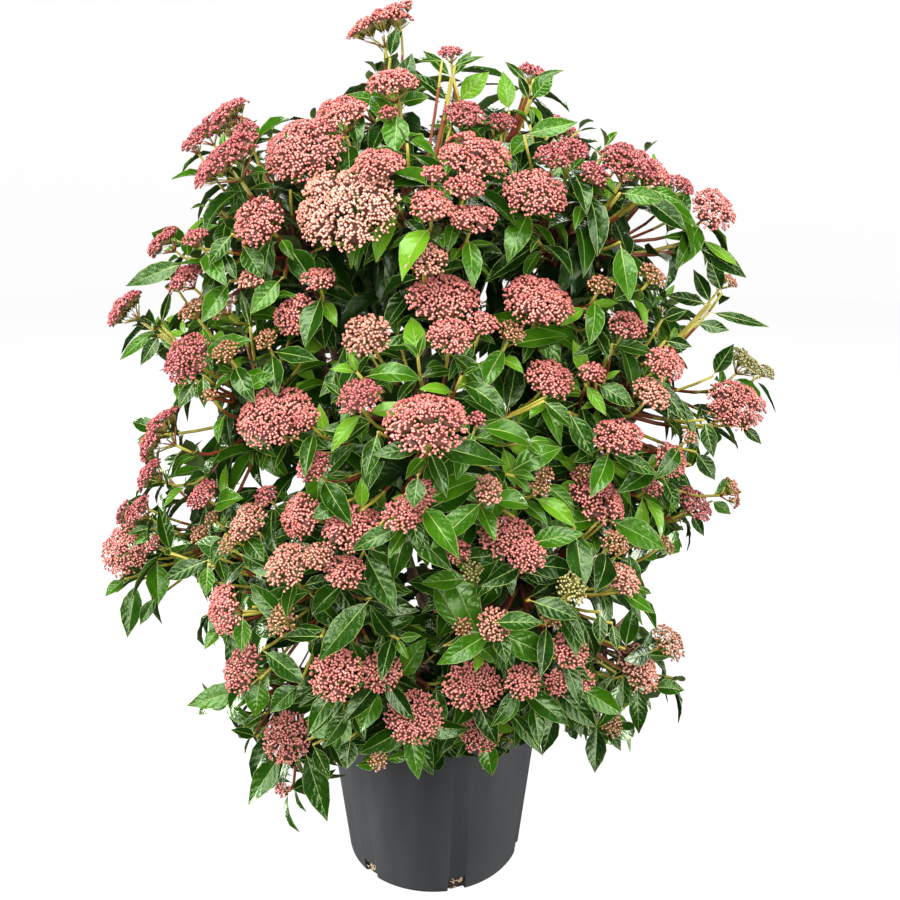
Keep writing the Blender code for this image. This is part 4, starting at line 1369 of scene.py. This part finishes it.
def headLayout(entry):
    # Places and headings of a head's buds, the rays, and the core of each small cluster
    radius = entry["radius"]
    draw = np.random.default_rng(entry["key"])
    area = headForm["budArea"][0 if entry["shown"] else 1]
    if entry["ripeness"] in openHeads:
        area *= headForm["openArea"]
    count = max(headForm["leastBuds"], round(math.pi * radius**2 / area))
    order = np.arange(count) + 0.5
    inReach, inTurn = headForm["scatter"]
    out = radius * np.sqrt(order / count) * (1 + draw.normal(0, inReach, count))
    turn = order * goldenAngle + draw.normal(0, inTurn, count)
    flat = np.stack([out * np.cos(turn), out * np.sin(turn)], axis=1)

    rays = headForm["rays"] + sum(radius > least for least in headForm["moreRays"])
    uneven = headForm["uneven"]
    angles = math.tau * (np.arange(rays) + draw.normal(0, uneven, rays)) / rays + draw.uniform(0, 6)
    reach = radius * headForm["rayReach"] * (1 + draw.normal(0, uneven, rays))
    clusters = np.stack([reach * np.cos(angles), reach * np.sin(angles)], axis=1)
    clusters = np.concatenate([[[0, 0]], clusters])
    away = flat[:, None] - clusters[None]
    own = np.linalg.norm(away, axis=2).argmin(axis=1)
    offset = away[np.arange(count), own]
    lifts = draw.normal(0, uneven, rays + 1)
    spread = radius * headForm["spread"]

    def level(spots, share, cluster):
        # Height of the buds' feet: the head's dome and, on it, the dome of each cluster
        dome = headForm["dome"] * (1 - (np.linalg.norm(spots, axis=-1) / radius) ** 2)
        puff = headForm["puff"] * (1 - share**2)
        return radius * (headForm["stalk"] + dome + lifts[cluster] + puff)

    share = np.clip(np.linalg.norm(offset, axis=1) / spread, 0, 1.2)
    flat = clusters[own] + offset * (1 - headForm["pull"])
    height = level(flat, share, own) + draw.normal(0, headForm["footScatter"], count)
    lean = headForm["lean"]
    tilt = flat / radius * lean + offset / spread * lean + draw.normal(0, inTurn, (count, 2))
    headings = unit(np.column_stack([tilt, np.ones(count)]))

    hubReach, hubHeight, coreFoot = headForm["hubs"]
    hubLevel = np.full(rays + 1, radius * headForm["stalk"] * hubHeight)
    hubs = np.column_stack([clusters * hubReach, hubLevel])
    wheel = np.arange(6) * math.tau / 6
    wheel = np.stack([np.cos(wheel), np.sin(wheel)], axis=1)
    cores = []
    for cluster, middle in enumerate(clusters):
        rings = [np.append(hubs[cluster, :2], hubs[cluster, 2] + radius * coreFoot)[None]]
        for part in headForm["coreShares"][:0:-1]:
            spots = middle + wheel * spread * part * (1 - headForm["pull"])
            feet = level(spots, part, cluster) - headForm["coreDepth"] * (1 + part)
            rings.append(np.column_stack([spots, feet]))
        top = level(middle, 0, cluster) - headForm["coreDepth"]
        rings.append(np.append(middle, top)[None])
        cores.append(np.concatenate(rings))

    bend = 1 + draw.uniform(-1, 1) * headForm["stretch"]
    shape = np.array([bend, 1 / bend, 1])
    places = np.column_stack([flat, height])
    return count, places * shape, headings, hubs * shape, own, np.array(cores) * shape


def makeHeads(shoots, finishes, rayFinishes, paintedShadeCoreFinishes):
    ripe = {ripeness: number for number, ripeness in enumerate(budTones)}
    coreFaces = tubeFaces(2, 6)
    for name in sorted({sector(entry["mass"]) for entry in shoots}):
        chosen = [entry for entry in shoots if sector(entry["mass"]) == name and entry["radius"]]
        template, faces, kinds = budTemplate(headForm["budSides"])
        points = []
        slots = []
        routes = []
        thickness = []
        rayKinds = []
        stalks = []
        cores = []
        coreKinds = []
        for entry in chosen:
            count, places, headings, hubs, own, core = headLayout(entry)
            rise = np.array(entry["rise"])
            tip = np.array(entry["tip"])
            side, other = framesAlong(rise)
            turn = np.stack([side, other, rise])
            draw = np.random.default_rng(entry["key"] + 7)
            length = draw.uniform(*headForm["budLength"], count)
            if not entry["shown"]:
                length *= headForm["behindLonger"]
            width = length * headForm["budWidth"]
            ahead = headings @ turn
            buds = tip + places @ turn
            first, second = framesAlong(ahead)
            shape = 0
            for part, (axis, size) in enumerate(((first, width), (second, width), (ahead, length))):
                shape = shape + axis[:, None] * template[None, :, part, None] * size[:, None, None]
            points.append(buds[:, None] + shape)
            tone = np.full(count, ripe[entry["ripeness"]])
            slots.append(tone[:, None] + len(ripe) * kinds[None])
            ends = tip + hubs @ turn
            base = tip - rise * headForm["rayFoot"]
            closed = entry["ripeness"] not in openHeads
            for end in ends:
                knee = base + (end - base) * 0.5 + rise * entry["radius"] * headForm["rayKnee"]
                routes.append(np.stack([base, knee, end]))
                thickness.append(headForm["rayRadii"])
                rayKinds.append(int(draw.random() < 1 - headForm["redRays"]))
            if closed:
                cores.append(tip + core @ turn)
                coreKinds += [int(entry["ripeness"] == "dusk")] * len(core)
            kept = np.full(count, True)
            if closed:
                rim = np.linalg.norm(places[:, :2], axis=1) > headForm["rim"] * entry["radius"]
                kept = rim & (np.arange(count) % 3 == 0)
            stalks.append((ends[own][kept], (buds + ahead * headForm["pedicelIn"])[kept]))
        budPoints = np.concatenate(points)
        piece = arrayMesh("buds_" + name, budPoints, faces, np.concatenate(slots), finishes)
        dress(piece, name)

        rayRoutes = np.array(routes)
        rayPoints = tubePoints(rayRoutes, np.array(thickness), 4)
        rayFaces = tubeFaces(3, 4)
        tones = np.repeat(np.array(rayKinds)[:, None], len(rayFaces), axis=1)
        piece = arrayMesh("rays_" + name, rayPoints, rayFaces, tones, rayFinishes)
        dress(piece, name)

        # The cores' dark colours are painted shade in the gaps between the buds
        tones = np.repeat(np.array(coreKinds)[:, None], len(coreFaces), axis=1)
        tones[:, ::3] = 2  # the bundle of pedicels below
        piece = arrayMesh("cores_" + name, np.concatenate(cores), coreFaces, tones, paintedShadeCoreFinishes)
        dress(piece, name)

        starts = np.concatenate([start for start, _ in stalks])
        ends = np.concatenate([end for _, end in stalks])
        first, second = framesAlong(unit(ends - starts))
        ring = []
        for step in range(3):
            angle = math.tau * step / 3
            away = first * math.cos(angle) + second * math.sin(angle)
            ring.append((starts + ends) / 2 + away * headForm["pedicelRadius"])
        stalkPoints = np.stack([starts, *ring, ends], axis=1)
        stalkFaces = [(0, 2, 1), (0, 3, 2), (0, 1, 3), (4, 1, 2), (4, 2, 3), (4, 3, 1)]
        tones = np.ones((len(starts), len(stalkFaces)))
        piece = arrayMesh("pedicels_" + name, stalkPoints, stalkFaces, tones, rayFinishes)
        dress(piece, name)


def makeTwigs(planned, shoots, finishes, inner):
    # Each mass's own stem, and its shoots: old wood below, red then green towards the tip
    count, sides = shoot["innerRings"] if inner else shoot["rings"]
    faces = tubeFaces(count, sides)
    for name in sorted({sector(mass) for mass in planned}):
        own = [mass for mass in planned if sector(mass) == name and not inner]
        chosen = [
            entry for entry in shoots if sector(entry["mass"]) == name and entry["inner"] == inner
        ]
        starts = [mass.base - mass.facing * shoot["ownFoot"] for mass in own]
        starts += [entry["start"] for entry in chosen]
        ends = [mass.stemEnd for mass in own] + [shootSpot(entry, entry["top"]) for entry in chosen]
        bends = [(mass.base + mass.stemEnd) / 2 for mass in own]
        bends += [entry["start"].lerp(entry["bend"], entry["top"]) for entry in chosen]
        routes = curveRoutes(np.array(starts), np.array(bends), np.array(ends), count)
        share = np.linspace(0, 1, count)
        radii = [between(shoot["stemTwig"], share)] * len(own)
        for entry in chosen:
            load = 1 + shoot["stouter"] * max(0, entry["radius"] - shoot["stoutFrom"])
            radii.append(between(shoot["radii"], share) * (shoot["innerThin"] if inner else load))
        heights = []
        for face in faces:
            ring = max((corner - 1) // sides for corner in face if corner)
            heights.append(min(ring, count) / (count - 1))
        heights = np.array(heights)
        slots = np.zeros((len(routes), len(faces)))
        for number, entry in enumerate(chosen):
            draw = random.Random(entry["key"])
            red = draw.uniform(*shoot["redFrom"])
            green = draw.uniform(*shoot["greenFrom"])
            row = np.where(heights > green, 2, np.where(heights > red, 1, 0))
            slots[len(own) + number] = row
        points = tubePoints(routes, np.array(radii), sides)
        kind = "inner_twigs_" if inner else "twigs_"
        piece = arrayMesh(kind + name, points, faces, slots, finishes)
        dress(piece, name)


# Pot and root ball

pot = {
    "height": 0.270,
    "rimRadius": 0.150,
    "footRadius": 0.1176,
    "wall": 0.0032,
    "floor": 0.0040,
    "lipHeight": 0.012,
    "lipProud": 0.0025,
    "footRound": 0.008,
    "sides": 96,
    "holes": 6,
    "holeWidth": 0.023,
    "holeHeight": 0.024,
    "holeReachIn": 0.014,
    "firstHole": 15,
    "holeRound": 0.003,
    "edge": 0.0008,
    "sharpFrom": math.radians(35),
    "smoothTo": math.radians(40),
}
rootBall = {
    "clear": 0.0008,  # of the pot's wall, below its lumps
    "levels": 24,
    "below": (0.002, 0.001),  # how far its edge and its top are under the compost's height
    "topRings": (0.96, 0.85, 0.7, 0.55, 0.4, 0.25, 0.12),
    "grain": 0.006,
    "relief": 0.0016,
    "middle": 0.6,
    "smoothTo": math.radians(50),
    "roots": 9,  # at each hole
    "rootPoints": 9,
    "rootTurn": 4.5,  # degrees to either side
    "rootHeights": (0.004, 0.022),
    "rootDrift": 5,
    "rootClimb": (-0.008, 0.012),
    "rootLowest": 0.0055,
    "rootWave": 0.0015,
    "rootBulge": 0.0012,
    "rootIn": 0.0002,
    "rootRadii": (0.0007, 0.0002),  # and at its ends
}


def wallRadius(height):
    widest = pot["rimRadius"] - pot["lipProud"]
    return pot["footRadius"] + (widest - pot["footRadius"]) * height / pot["height"]


def turnUp(name, profile, sides):
    # A disc at the profile's first level, extruded and widened from level to level
    radius, height = profile[0]
    bpy.ops.mesh.primitive_circle_add(
        vertices=sides, radius=radius, fill_type="NGON", location=(0, 0, height)
    )
    piece = bpy.context.object
    piece.name = name
    piece.data.name = name
    bpy.ops.object.transform_apply(location=True)
    bpy.ops.object.mode_set(mode="EDIT")
    for nextRadius, nextHeight in profile[1:]:
        rise = (0, 0, nextHeight - height)
        bpy.ops.mesh.extrude_region_move(TRANSFORM_OT_translate={"value": rise})
        scale = nextRadius / radius
        bpy.ops.transform.resize(value=(scale, scale, 1), center_override=(0, 0, nextHeight))
        radius, height = nextRadius, nextHeight
    bpy.ops.mesh.select_all(action="SELECT")
    bpy.ops.mesh.normals_make_consistent(inside=False)
    bpy.ops.object.mode_set(mode="OBJECT")
    return piece


def potProfile():
    # Out over the foot, up the wall to the lip, and down inside to the floor
    profile = []
    for step in range(5):
        turn = math.radians(90 - 22.5 * step)
        ease = pot["footRound"] * (1 - math.cos(turn))
        height = pot["footRound"] * (1 - math.sin(turn))
        profile.append((wallRadius(pot["footRound"]) - ease, height))
    lipFoot = pot["height"] - pot["lipHeight"]
    profile.append((wallRadius(lipFoot - pot["lipProud"]), lipFoot - pot["lipProud"]))
    profile.append((pot["rimRadius"], lipFoot))
    profile.append((pot["rimRadius"], pot["height"]))
    profile.append((wallRadius(pot["height"]) - pot["wall"], pot["height"]))
    profile.append((wallRadius(pot["floor"]) - pot["wall"], pot["floor"]))
    return profile


def smoothOver(piece, angle):
    bpy.ops.object.select_all(action="DESELECT")
    piece.select_set(True)
    bpy.ops.object.shade_smooth_by_angle(angle=angle)
    piece.select_set(False)


def makePot(finish):
    piece = turnUp("nursery_pot", potProfile(), pot["sides"])
    bpy.context.view_layer.objects.active = piece
    for number in range(pot["holes"]):
        azimuth = pot["firstHole"] + 360 / pot["holes"] * number
        place = compass(azimuth, pot["footRadius"], 0)
        bpy.ops.object.select_all(action="DESELECT")
        turned = (0, 0, math.radians(azimuth))
        bpy.ops.mesh.primitive_cube_add(size=1, location=place, rotation=turned)
        cutter = bpy.context.object
        cutter.scale = (pot["holeWidth"], 2 * pot["holeReachIn"], 2 * pot["holeHeight"])
        bpy.ops.object.transform_apply(scale=True)
        corners = cutter.modifiers.new("Corners", "BEVEL")
        corners.width = pot["holeRound"]
        corners.segments = 3
        bpy.ops.object.modifier_apply(modifier="Corners")
        bpy.context.view_layer.objects.active = piece
        cut = piece.modifiers.new("Hole", "BOOLEAN")
        cut.operation = "DIFFERENCE"
        cut.object = cutter
        bpy.ops.object.modifier_apply(modifier="Hole")
        bpy.data.objects.remove(cutter)
    edge = piece.modifiers.new("Edge", "BEVEL")
    edge.width = pot["edge"]
    edge.segments = 2
    edge.limit_method = "ANGLE"
    edge.angle_limit = pot["sharpFrom"]
    bpy.ops.object.modifier_apply(modifier="Edge")
    smoothOver(piece, pot["smoothTo"])
    piece.data.materials.append(finish)
    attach(piece, "root")
    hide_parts("pot")
    print("nursery_pot -", len(piece.data.polygons), "faces")


def makeRootBall(finish, rootFinish):
    inset = pot["wall"] + gap
    foot = pot["floor"] + gap
    levels = rootBall["levels"]
    edgeBelow, topBelow = rootBall["below"]
    profile = []
    for step in range(levels + 1):
        height = foot + (limbs["compostTop"] - edgeBelow - foot) * step / levels
        profile.append((wallRadius(height) - inset - rootBall["clear"], height))
    for share in rootBall["topRings"]:
        profile.append((profile[levels][0] * share, limbs["compostTop"] - topBelow))
    piece = turnUp("compost", profile, pot["sides"])
    roughen(piece, "compost lumps", rootBall["grain"], rootBall["relief"], rootBall["middle"])
    smoothOver(piece, rootBall["smoothTo"])
    piece.data.materials.append(finish)
    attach(piece, "root")
    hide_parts("root_ball")

    # Roots that have reached the drainage holes
    routes = []
    spread, drifting = rootBall["rootTurn"], rootBall["rootDrift"]
    for hole in range(pot["holes"]):
        azimuth = pot["firstHole"] + 360 / pot["holes"] * hole
        for number in range(rootBall["roots"]):
            draw = random.Random(100 * hole + number)
            turn = azimuth + draw.uniform(-spread, spread)
            height = draw.uniform(*rootBall["rootHeights"])
            drift = draw.uniform(-drifting, drifting)
            climb = draw.uniform(*rootBall["rootClimb"])
            route = []
            for step in range(rootBall["rootPoints"]):
                share = step / (rootBall["rootPoints"] - 1)
                wave = rootBall["rootWave"] * math.sin(7 * share + number)
                level = max(rootBall["rootLowest"], height + climb * share + wave)
                bulge = rootBall["rootBulge"] * math.sin(math.pi * share)
                reach = wallRadius(level) - inset + bulge - rootBall["rootIn"]
                heading = turn + drift * share + math.sin(5 * share + hole)
                route.append(compass(heading, reach, level))
            routes.append(route)
    routes = np.array(routes)
    thick, thin = rootBall["rootRadii"]
    radii = np.full(routes.shape[:2], thick)
    radii[:, 0] = radii[:, -1] = thin
    faces = tubeFaces(routes.shape[1], 6)
    slots = np.zeros((len(routes), len(faces)))
    piece = arrayMesh("pot_roots", tubePoints(routes, radii, 6), faces, slots, [rootFinish])
    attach(piece, "root")


# Finishes

leafSurface = {
    "tint": (0.66, 1.0, 0.42, 1),
    "coat": (0.10, 0.10),  # weight and roughness
    "noises": ((55, 3), (120, 2), (320, 3)),  # scale and detail of patches, quilting and grain
    "veins": 40,  # along the blade, in radians
    "slant": -0.5,
    "wander": 3.0,
    "quilting": 0.0006,
    "veinRelief": 0.00009,
}
leafTones = (
    # low and high tone, roughness from and to, relief of the grain
    ("leaf deep", (0.0025, 0.0145, 0.0008), (0.006, 0.029, 0.0015), (0.20, 0.36), 0.0003),
    ("leaf mid", (0.0075, 0.036, 0.0015), (0.0135, 0.054, 0.002), (0.16, 0.32), 0.0004),
    ("leaf bright", (0.022, 0.086, 0.002), (0.038, 0.122, 0.003), (0.16, 0.32), 0.0004),
    ("leaf young", (0.080, 0.220, 0.006), (0.120, 0.270, 0.010), (0.22, 0.38), 0.0002),
)
# Painted shade: a near-black copy of the deep leaf green, for the leaves of the inner shoots
paintedShadeTone = ("leaf shade", (0.002, 0.010, 0.001), (0.005, 0.024, 0.0015), (0.3, 0.5), 0.0003, 0.25)
# low and high tone, roughness from and to, scales of the patches and the grain, and its relief
leafPartTones = (
    # The rim's pale colour is partly the leaf's real paler edge and partly a painted highlight where
    # light catches the rolled margin; on the rib it is the real pale midrib
    ("leaf rim", (0.130, 0.220, 0.030), (0.260, 0.360, 0.070), (0.4, 0.6), 60, 400, 0.0002),
    ("leaf underside", (0.070, 0.130, 0.030), (0.120, 0.200, 0.045), (0.6, 0.8), 60, 300, 0.0004),
    ("leaf stalk", (0.300, 0.180, 0.030), (0.330, 0.380, 0.060), (0.4, 0.6), 25, 400, 0.0002),
)
rayTones = (
    ("ray red", (0.260, 0.045, 0.025), (0.360, 0.110, 0.035), (0.40, 0.60), 60, 500, 0.0002),
    ("ray green", (0.260, 0.200, 0.030), (0.380, 0.340, 0.070), (0.40, 0.60), 60, 500, 0.0002),
)
# Painted shade: the cores stand for the pedicels and small buds under the buds, coloured far darker than
# these to paint the shade in the gaps between the buds
paintedShadeCoreTones = (
    ("core rose", (0.060, 0.016, 0.010), (0.140, 0.050, 0.022), (0.50, 0.70), 260, 900, 0.0004),
    ("core dusk", (0.055, 0.024, 0.010), (0.130, 0.065, 0.025), (0.50, 0.70), 260, 900, 0.0004),
    ("core stalks", (0.070, 0.055, 0.010), (0.220, 0.170, 0.035), (0.50, 0.70), 420, 900, 0.0006),
)
twigTones = (
    ("twig brown", (0.070, 0.026, 0.014), (0.150, 0.060, 0.030), (0.50, 0.75), 70, 380, 0.0006),
    ("twig red", (0.190, 0.030, 0.014), (0.280, 0.070, 0.022), (0.40, 0.60), 60, 380, 0.0003),
    ("twig green", (0.280, 0.230, 0.025), (0.440, 0.390, 0.050), (0.40, 0.60), 60, 380, 0.0002),
)
barkTone = ("bark", (0.060, 0.026, 0.015), (0.170, 0.080, 0.045), (0.60, 0.85), 90, 420, 0.0012)
soilTone = ("compost", (0.018, 0.011, 0.007), (0.070, 0.042, 0.025), (0.85, 1.0), 160, 900, 0.0012)
rootTone = ("root", (0.330, 0.240, 0.150), (0.620, 0.500, 0.360), (0.6, 0.8), 200, 900, 0.0003)
potTone = ("pot plastic", (0.046, 0.048, 0.051), (0.060, 0.062, 0.065), (0.42, 0.58), 30, 260, 0.0003)
potStreaks = (1, 1, 0.12)
budGloss = {"bud": (0.30, 0.45), "tip": (0.25, 0.40), "openDuller": 0.05}
budGrain = (90, 700, 0.0001)


def sums(tree, operation, *values):
    links = dict(enumerate(values))
    return addNode(tree, "ShaderNodeMath", links, operation=operation).outputs[0]


def leafFinish(name, low, high, roughness, bumpiness, gloss=0.42):
    # Leathery blade: patchy green, side veins that follow the blade, and a fine quilted grain
    coat, coatRoughness = leafSurface["coat"]
    sockets = {"Specular IOR Level": gloss, "Specular Tint": leafSurface["tint"]}
    sockets.update({"Coat Weight": coat, "Coat Roughness": coatRoughness})
    made, tree, shader = startFinish(name, sockets)
    place = addNode(tree, "ShaderNodeTexCoord").outputs["Object"]
    tone, broad, fine = [noiseOn(tree, place, *noise) for noise in leafSurface["noises"]]
    chart = addNode(tree, "ShaderNodeUVMap", uv_map="shape").outputs["UV"]
    across, along, _ = addNode(tree, "ShaderNodeSeparateXYZ", {0: chart}).outputs
    aside = sums(tree, "ABSOLUTE", sums(tree, "SUBTRACT", across, 0.5))
    phase = sums(tree, "ADD", along, sums(tree, "MULTIPLY", aside, leafSurface["slant"]))
    turns = sums(tree, "MULTIPLY", phase, leafSurface["veins"])
    veins = sums(tree, "SINE", sums(tree, "MULTIPLY_ADD", broad, leafSurface["wander"], turns))
    tree.links.new(blendColours(tree, tone, low, high), shader.inputs["Base Color"])
    tree.links.new(remap(tree, fine, *roughness), shader.inputs["Roughness"])
    grain = bumpFrom(tree, fine, bumpiness)
    waves = bumpFrom(tree, broad, leafSurface["quilting"], 1.0, grain)
    normal = bumpFrom(tree, veins, leafSurface["veinRelief"], 1.0, waves)
    tree.links.new(normal, shader.inputs["Normal"])
    return made


def budFinishes():
    # The buds by how ripe they are and, for deep, by painted shade, and then their caps, whose pale
    # colour is partly the real pale tip and partly a painted highlight
    made = []
    for part, first in (("bud", 0), ("tip", 2)):
        for ripeness, tones in budTones.items():
            duller = budGloss["openDuller"] * (ripeness in openHeads)
            gloss = [value + duller for value in budGloss[part]]
            low, high = tones[first : first + 2]
            made.append(simpleFinish(f"{part} {ripeness}", low, high, gloss, *budGrain))
    return made


def finishesFrom(rows):
    return [simpleFinish(*row) for row in rows]


# Building

crown = planMasses()
makeLimbs(planLimbs(crown), simpleFinish(*barkTone))
print("limbs done")

shoots = planShoots(crown)
print(len(shoots), "shoots,", sum(entry["radius"] > 0 for entry in shoots), "with flower heads")
leaves = growLeaves(shoots, keepOffTree())
shoots = trimShoots(shoots, leaves)
print(len(leaves), "leaves on", len(shoots), "shoots")
leafFinishes = [leafFinish(*row) for row in leafTones] + finishesFrom(leafPartTones)
makeLeaves(leaves, False, "leaves_", leafFinishes)
# The leaves of the inner shoots take the painted shade finish in place of the deep green
makeLeaves(leaves, True, "inner_leaves_", [leafFinish(*paintedShadeTone)] + leafFinishes[1:])
makeHeads(shoots, budFinishes(), finishesFrom(rayTones), finishesFrom(paintedShadeCoreTones))
twigFinishes = finishesFrom(twigTones)
makeTwigs(crown, shoots, twigFinishes, False)
makeTwigs(crown, shoots, twigFinishes, True)
print("foliage done")

makePot(simpleFinish(*potTone, potStreaks))
makeRootBall(simpleFinish(*soilTone), simpleFinish(*rootTone))
print("pot done")


stageSet = {
    "radius": 5.0,
    "floorTone": (0.09, 0.09, 0.09),
    "floorGlow": 0.95,
    "wallGlow": 0.955,
    "world": 0.035,
    "lights": [
        # name, place, aimed at, width, watts
        ("top light", (-0.4, -1.3, 2.8), (0, 0, 0.5), 1.4, 94),
        ("front light", (0.4, -2.9, 1.6), (0, 0, 0.7), 1.1, 65),
        ("left light", (-2.6, -1.2, 1.3), (0, 0, 0.5), 1.5, 65),
        ("right light", (2.6, -1.0, 1.5), (0, 0, 0.5), 1.5, 55),
        ("back light", (0.3, 2.4, 2.2), (0, 0, 0.6), 1.7, 75),
        ("low left light", (-1.6, -0.1, 0.2), (0, 0, 0.13), 0.5, 33),
        ("low right light", (1.6, -0.1, 0.2), (0, 0, 0.13), 0.5, 18),
    ],
}


def makeStage():
    bpy.ops.mesh.primitive_circle_add(vertices=96, radius=stageSet["radius"], fill_type="NGON")
    floor = bpy.context.object
    floor.name = "floor"
    tone = stageSet["floorTone"]
    glow = {"Emission Color": (1, 1, 1, 1), "Emission Strength": stageSet["floorGlow"]}
    floor.data.materials.append(simpleFinish("floor", tone, tone, (0.7, 0.9), 2, 40, 0.0001, None, glow))
    floor.visible_diffuse = False
    floor.visible_glossy = False

    # A round white backdrop. It and the floor light nothing, so the plant's shade stays deep
    bpy.ops.mesh.primitive_cylinder_add(
        vertices=96, radius=stageSet["radius"], depth=8, end_fill_type="NOTHING", location=(0, 0, 3.8)
    )
    wall = bpy.context.object
    wall.name = "backdrop"
    glow = {"Base Color": (0, 0, 0, 1), "Emission Color": (1, 1, 1, 1)}
    glow["Emission Strength"] = stageSet["wallGlow"]
    wall.data.materials.append(startFinish("backdrop", glow)[0])
    wall.visible_diffuse = False
    wall.visible_glossy = False
    wall.visible_shadow = False
    world = bpy.data.worlds.new("studio")
    world.use_nodes = True
    sky = world.node_tree.nodes["Background"]
    sky.inputs["Color"].default_value = (1, 1, 1, 1)
    sky.inputs["Strength"].default_value = stageSet["world"]
    scene.world = world
    for name, place, target, width, power in stageSet["lights"]:
        lamp = bpy.data.lights.new(name, "AREA")
        lamp.size = width
        lamp.energy = power
        holder = bpy.data.objects.new(name, lamp)
        holder.location = place
        aim = Vector(target) - Vector(place)
        holder.rotation_euler = aim.to_track_quat("-Z", "Y").to_euler()
        scene.collection.objects.link(holder)


makeStage()
scene.view_settings.view_transform = "Standard"
print("stage done")
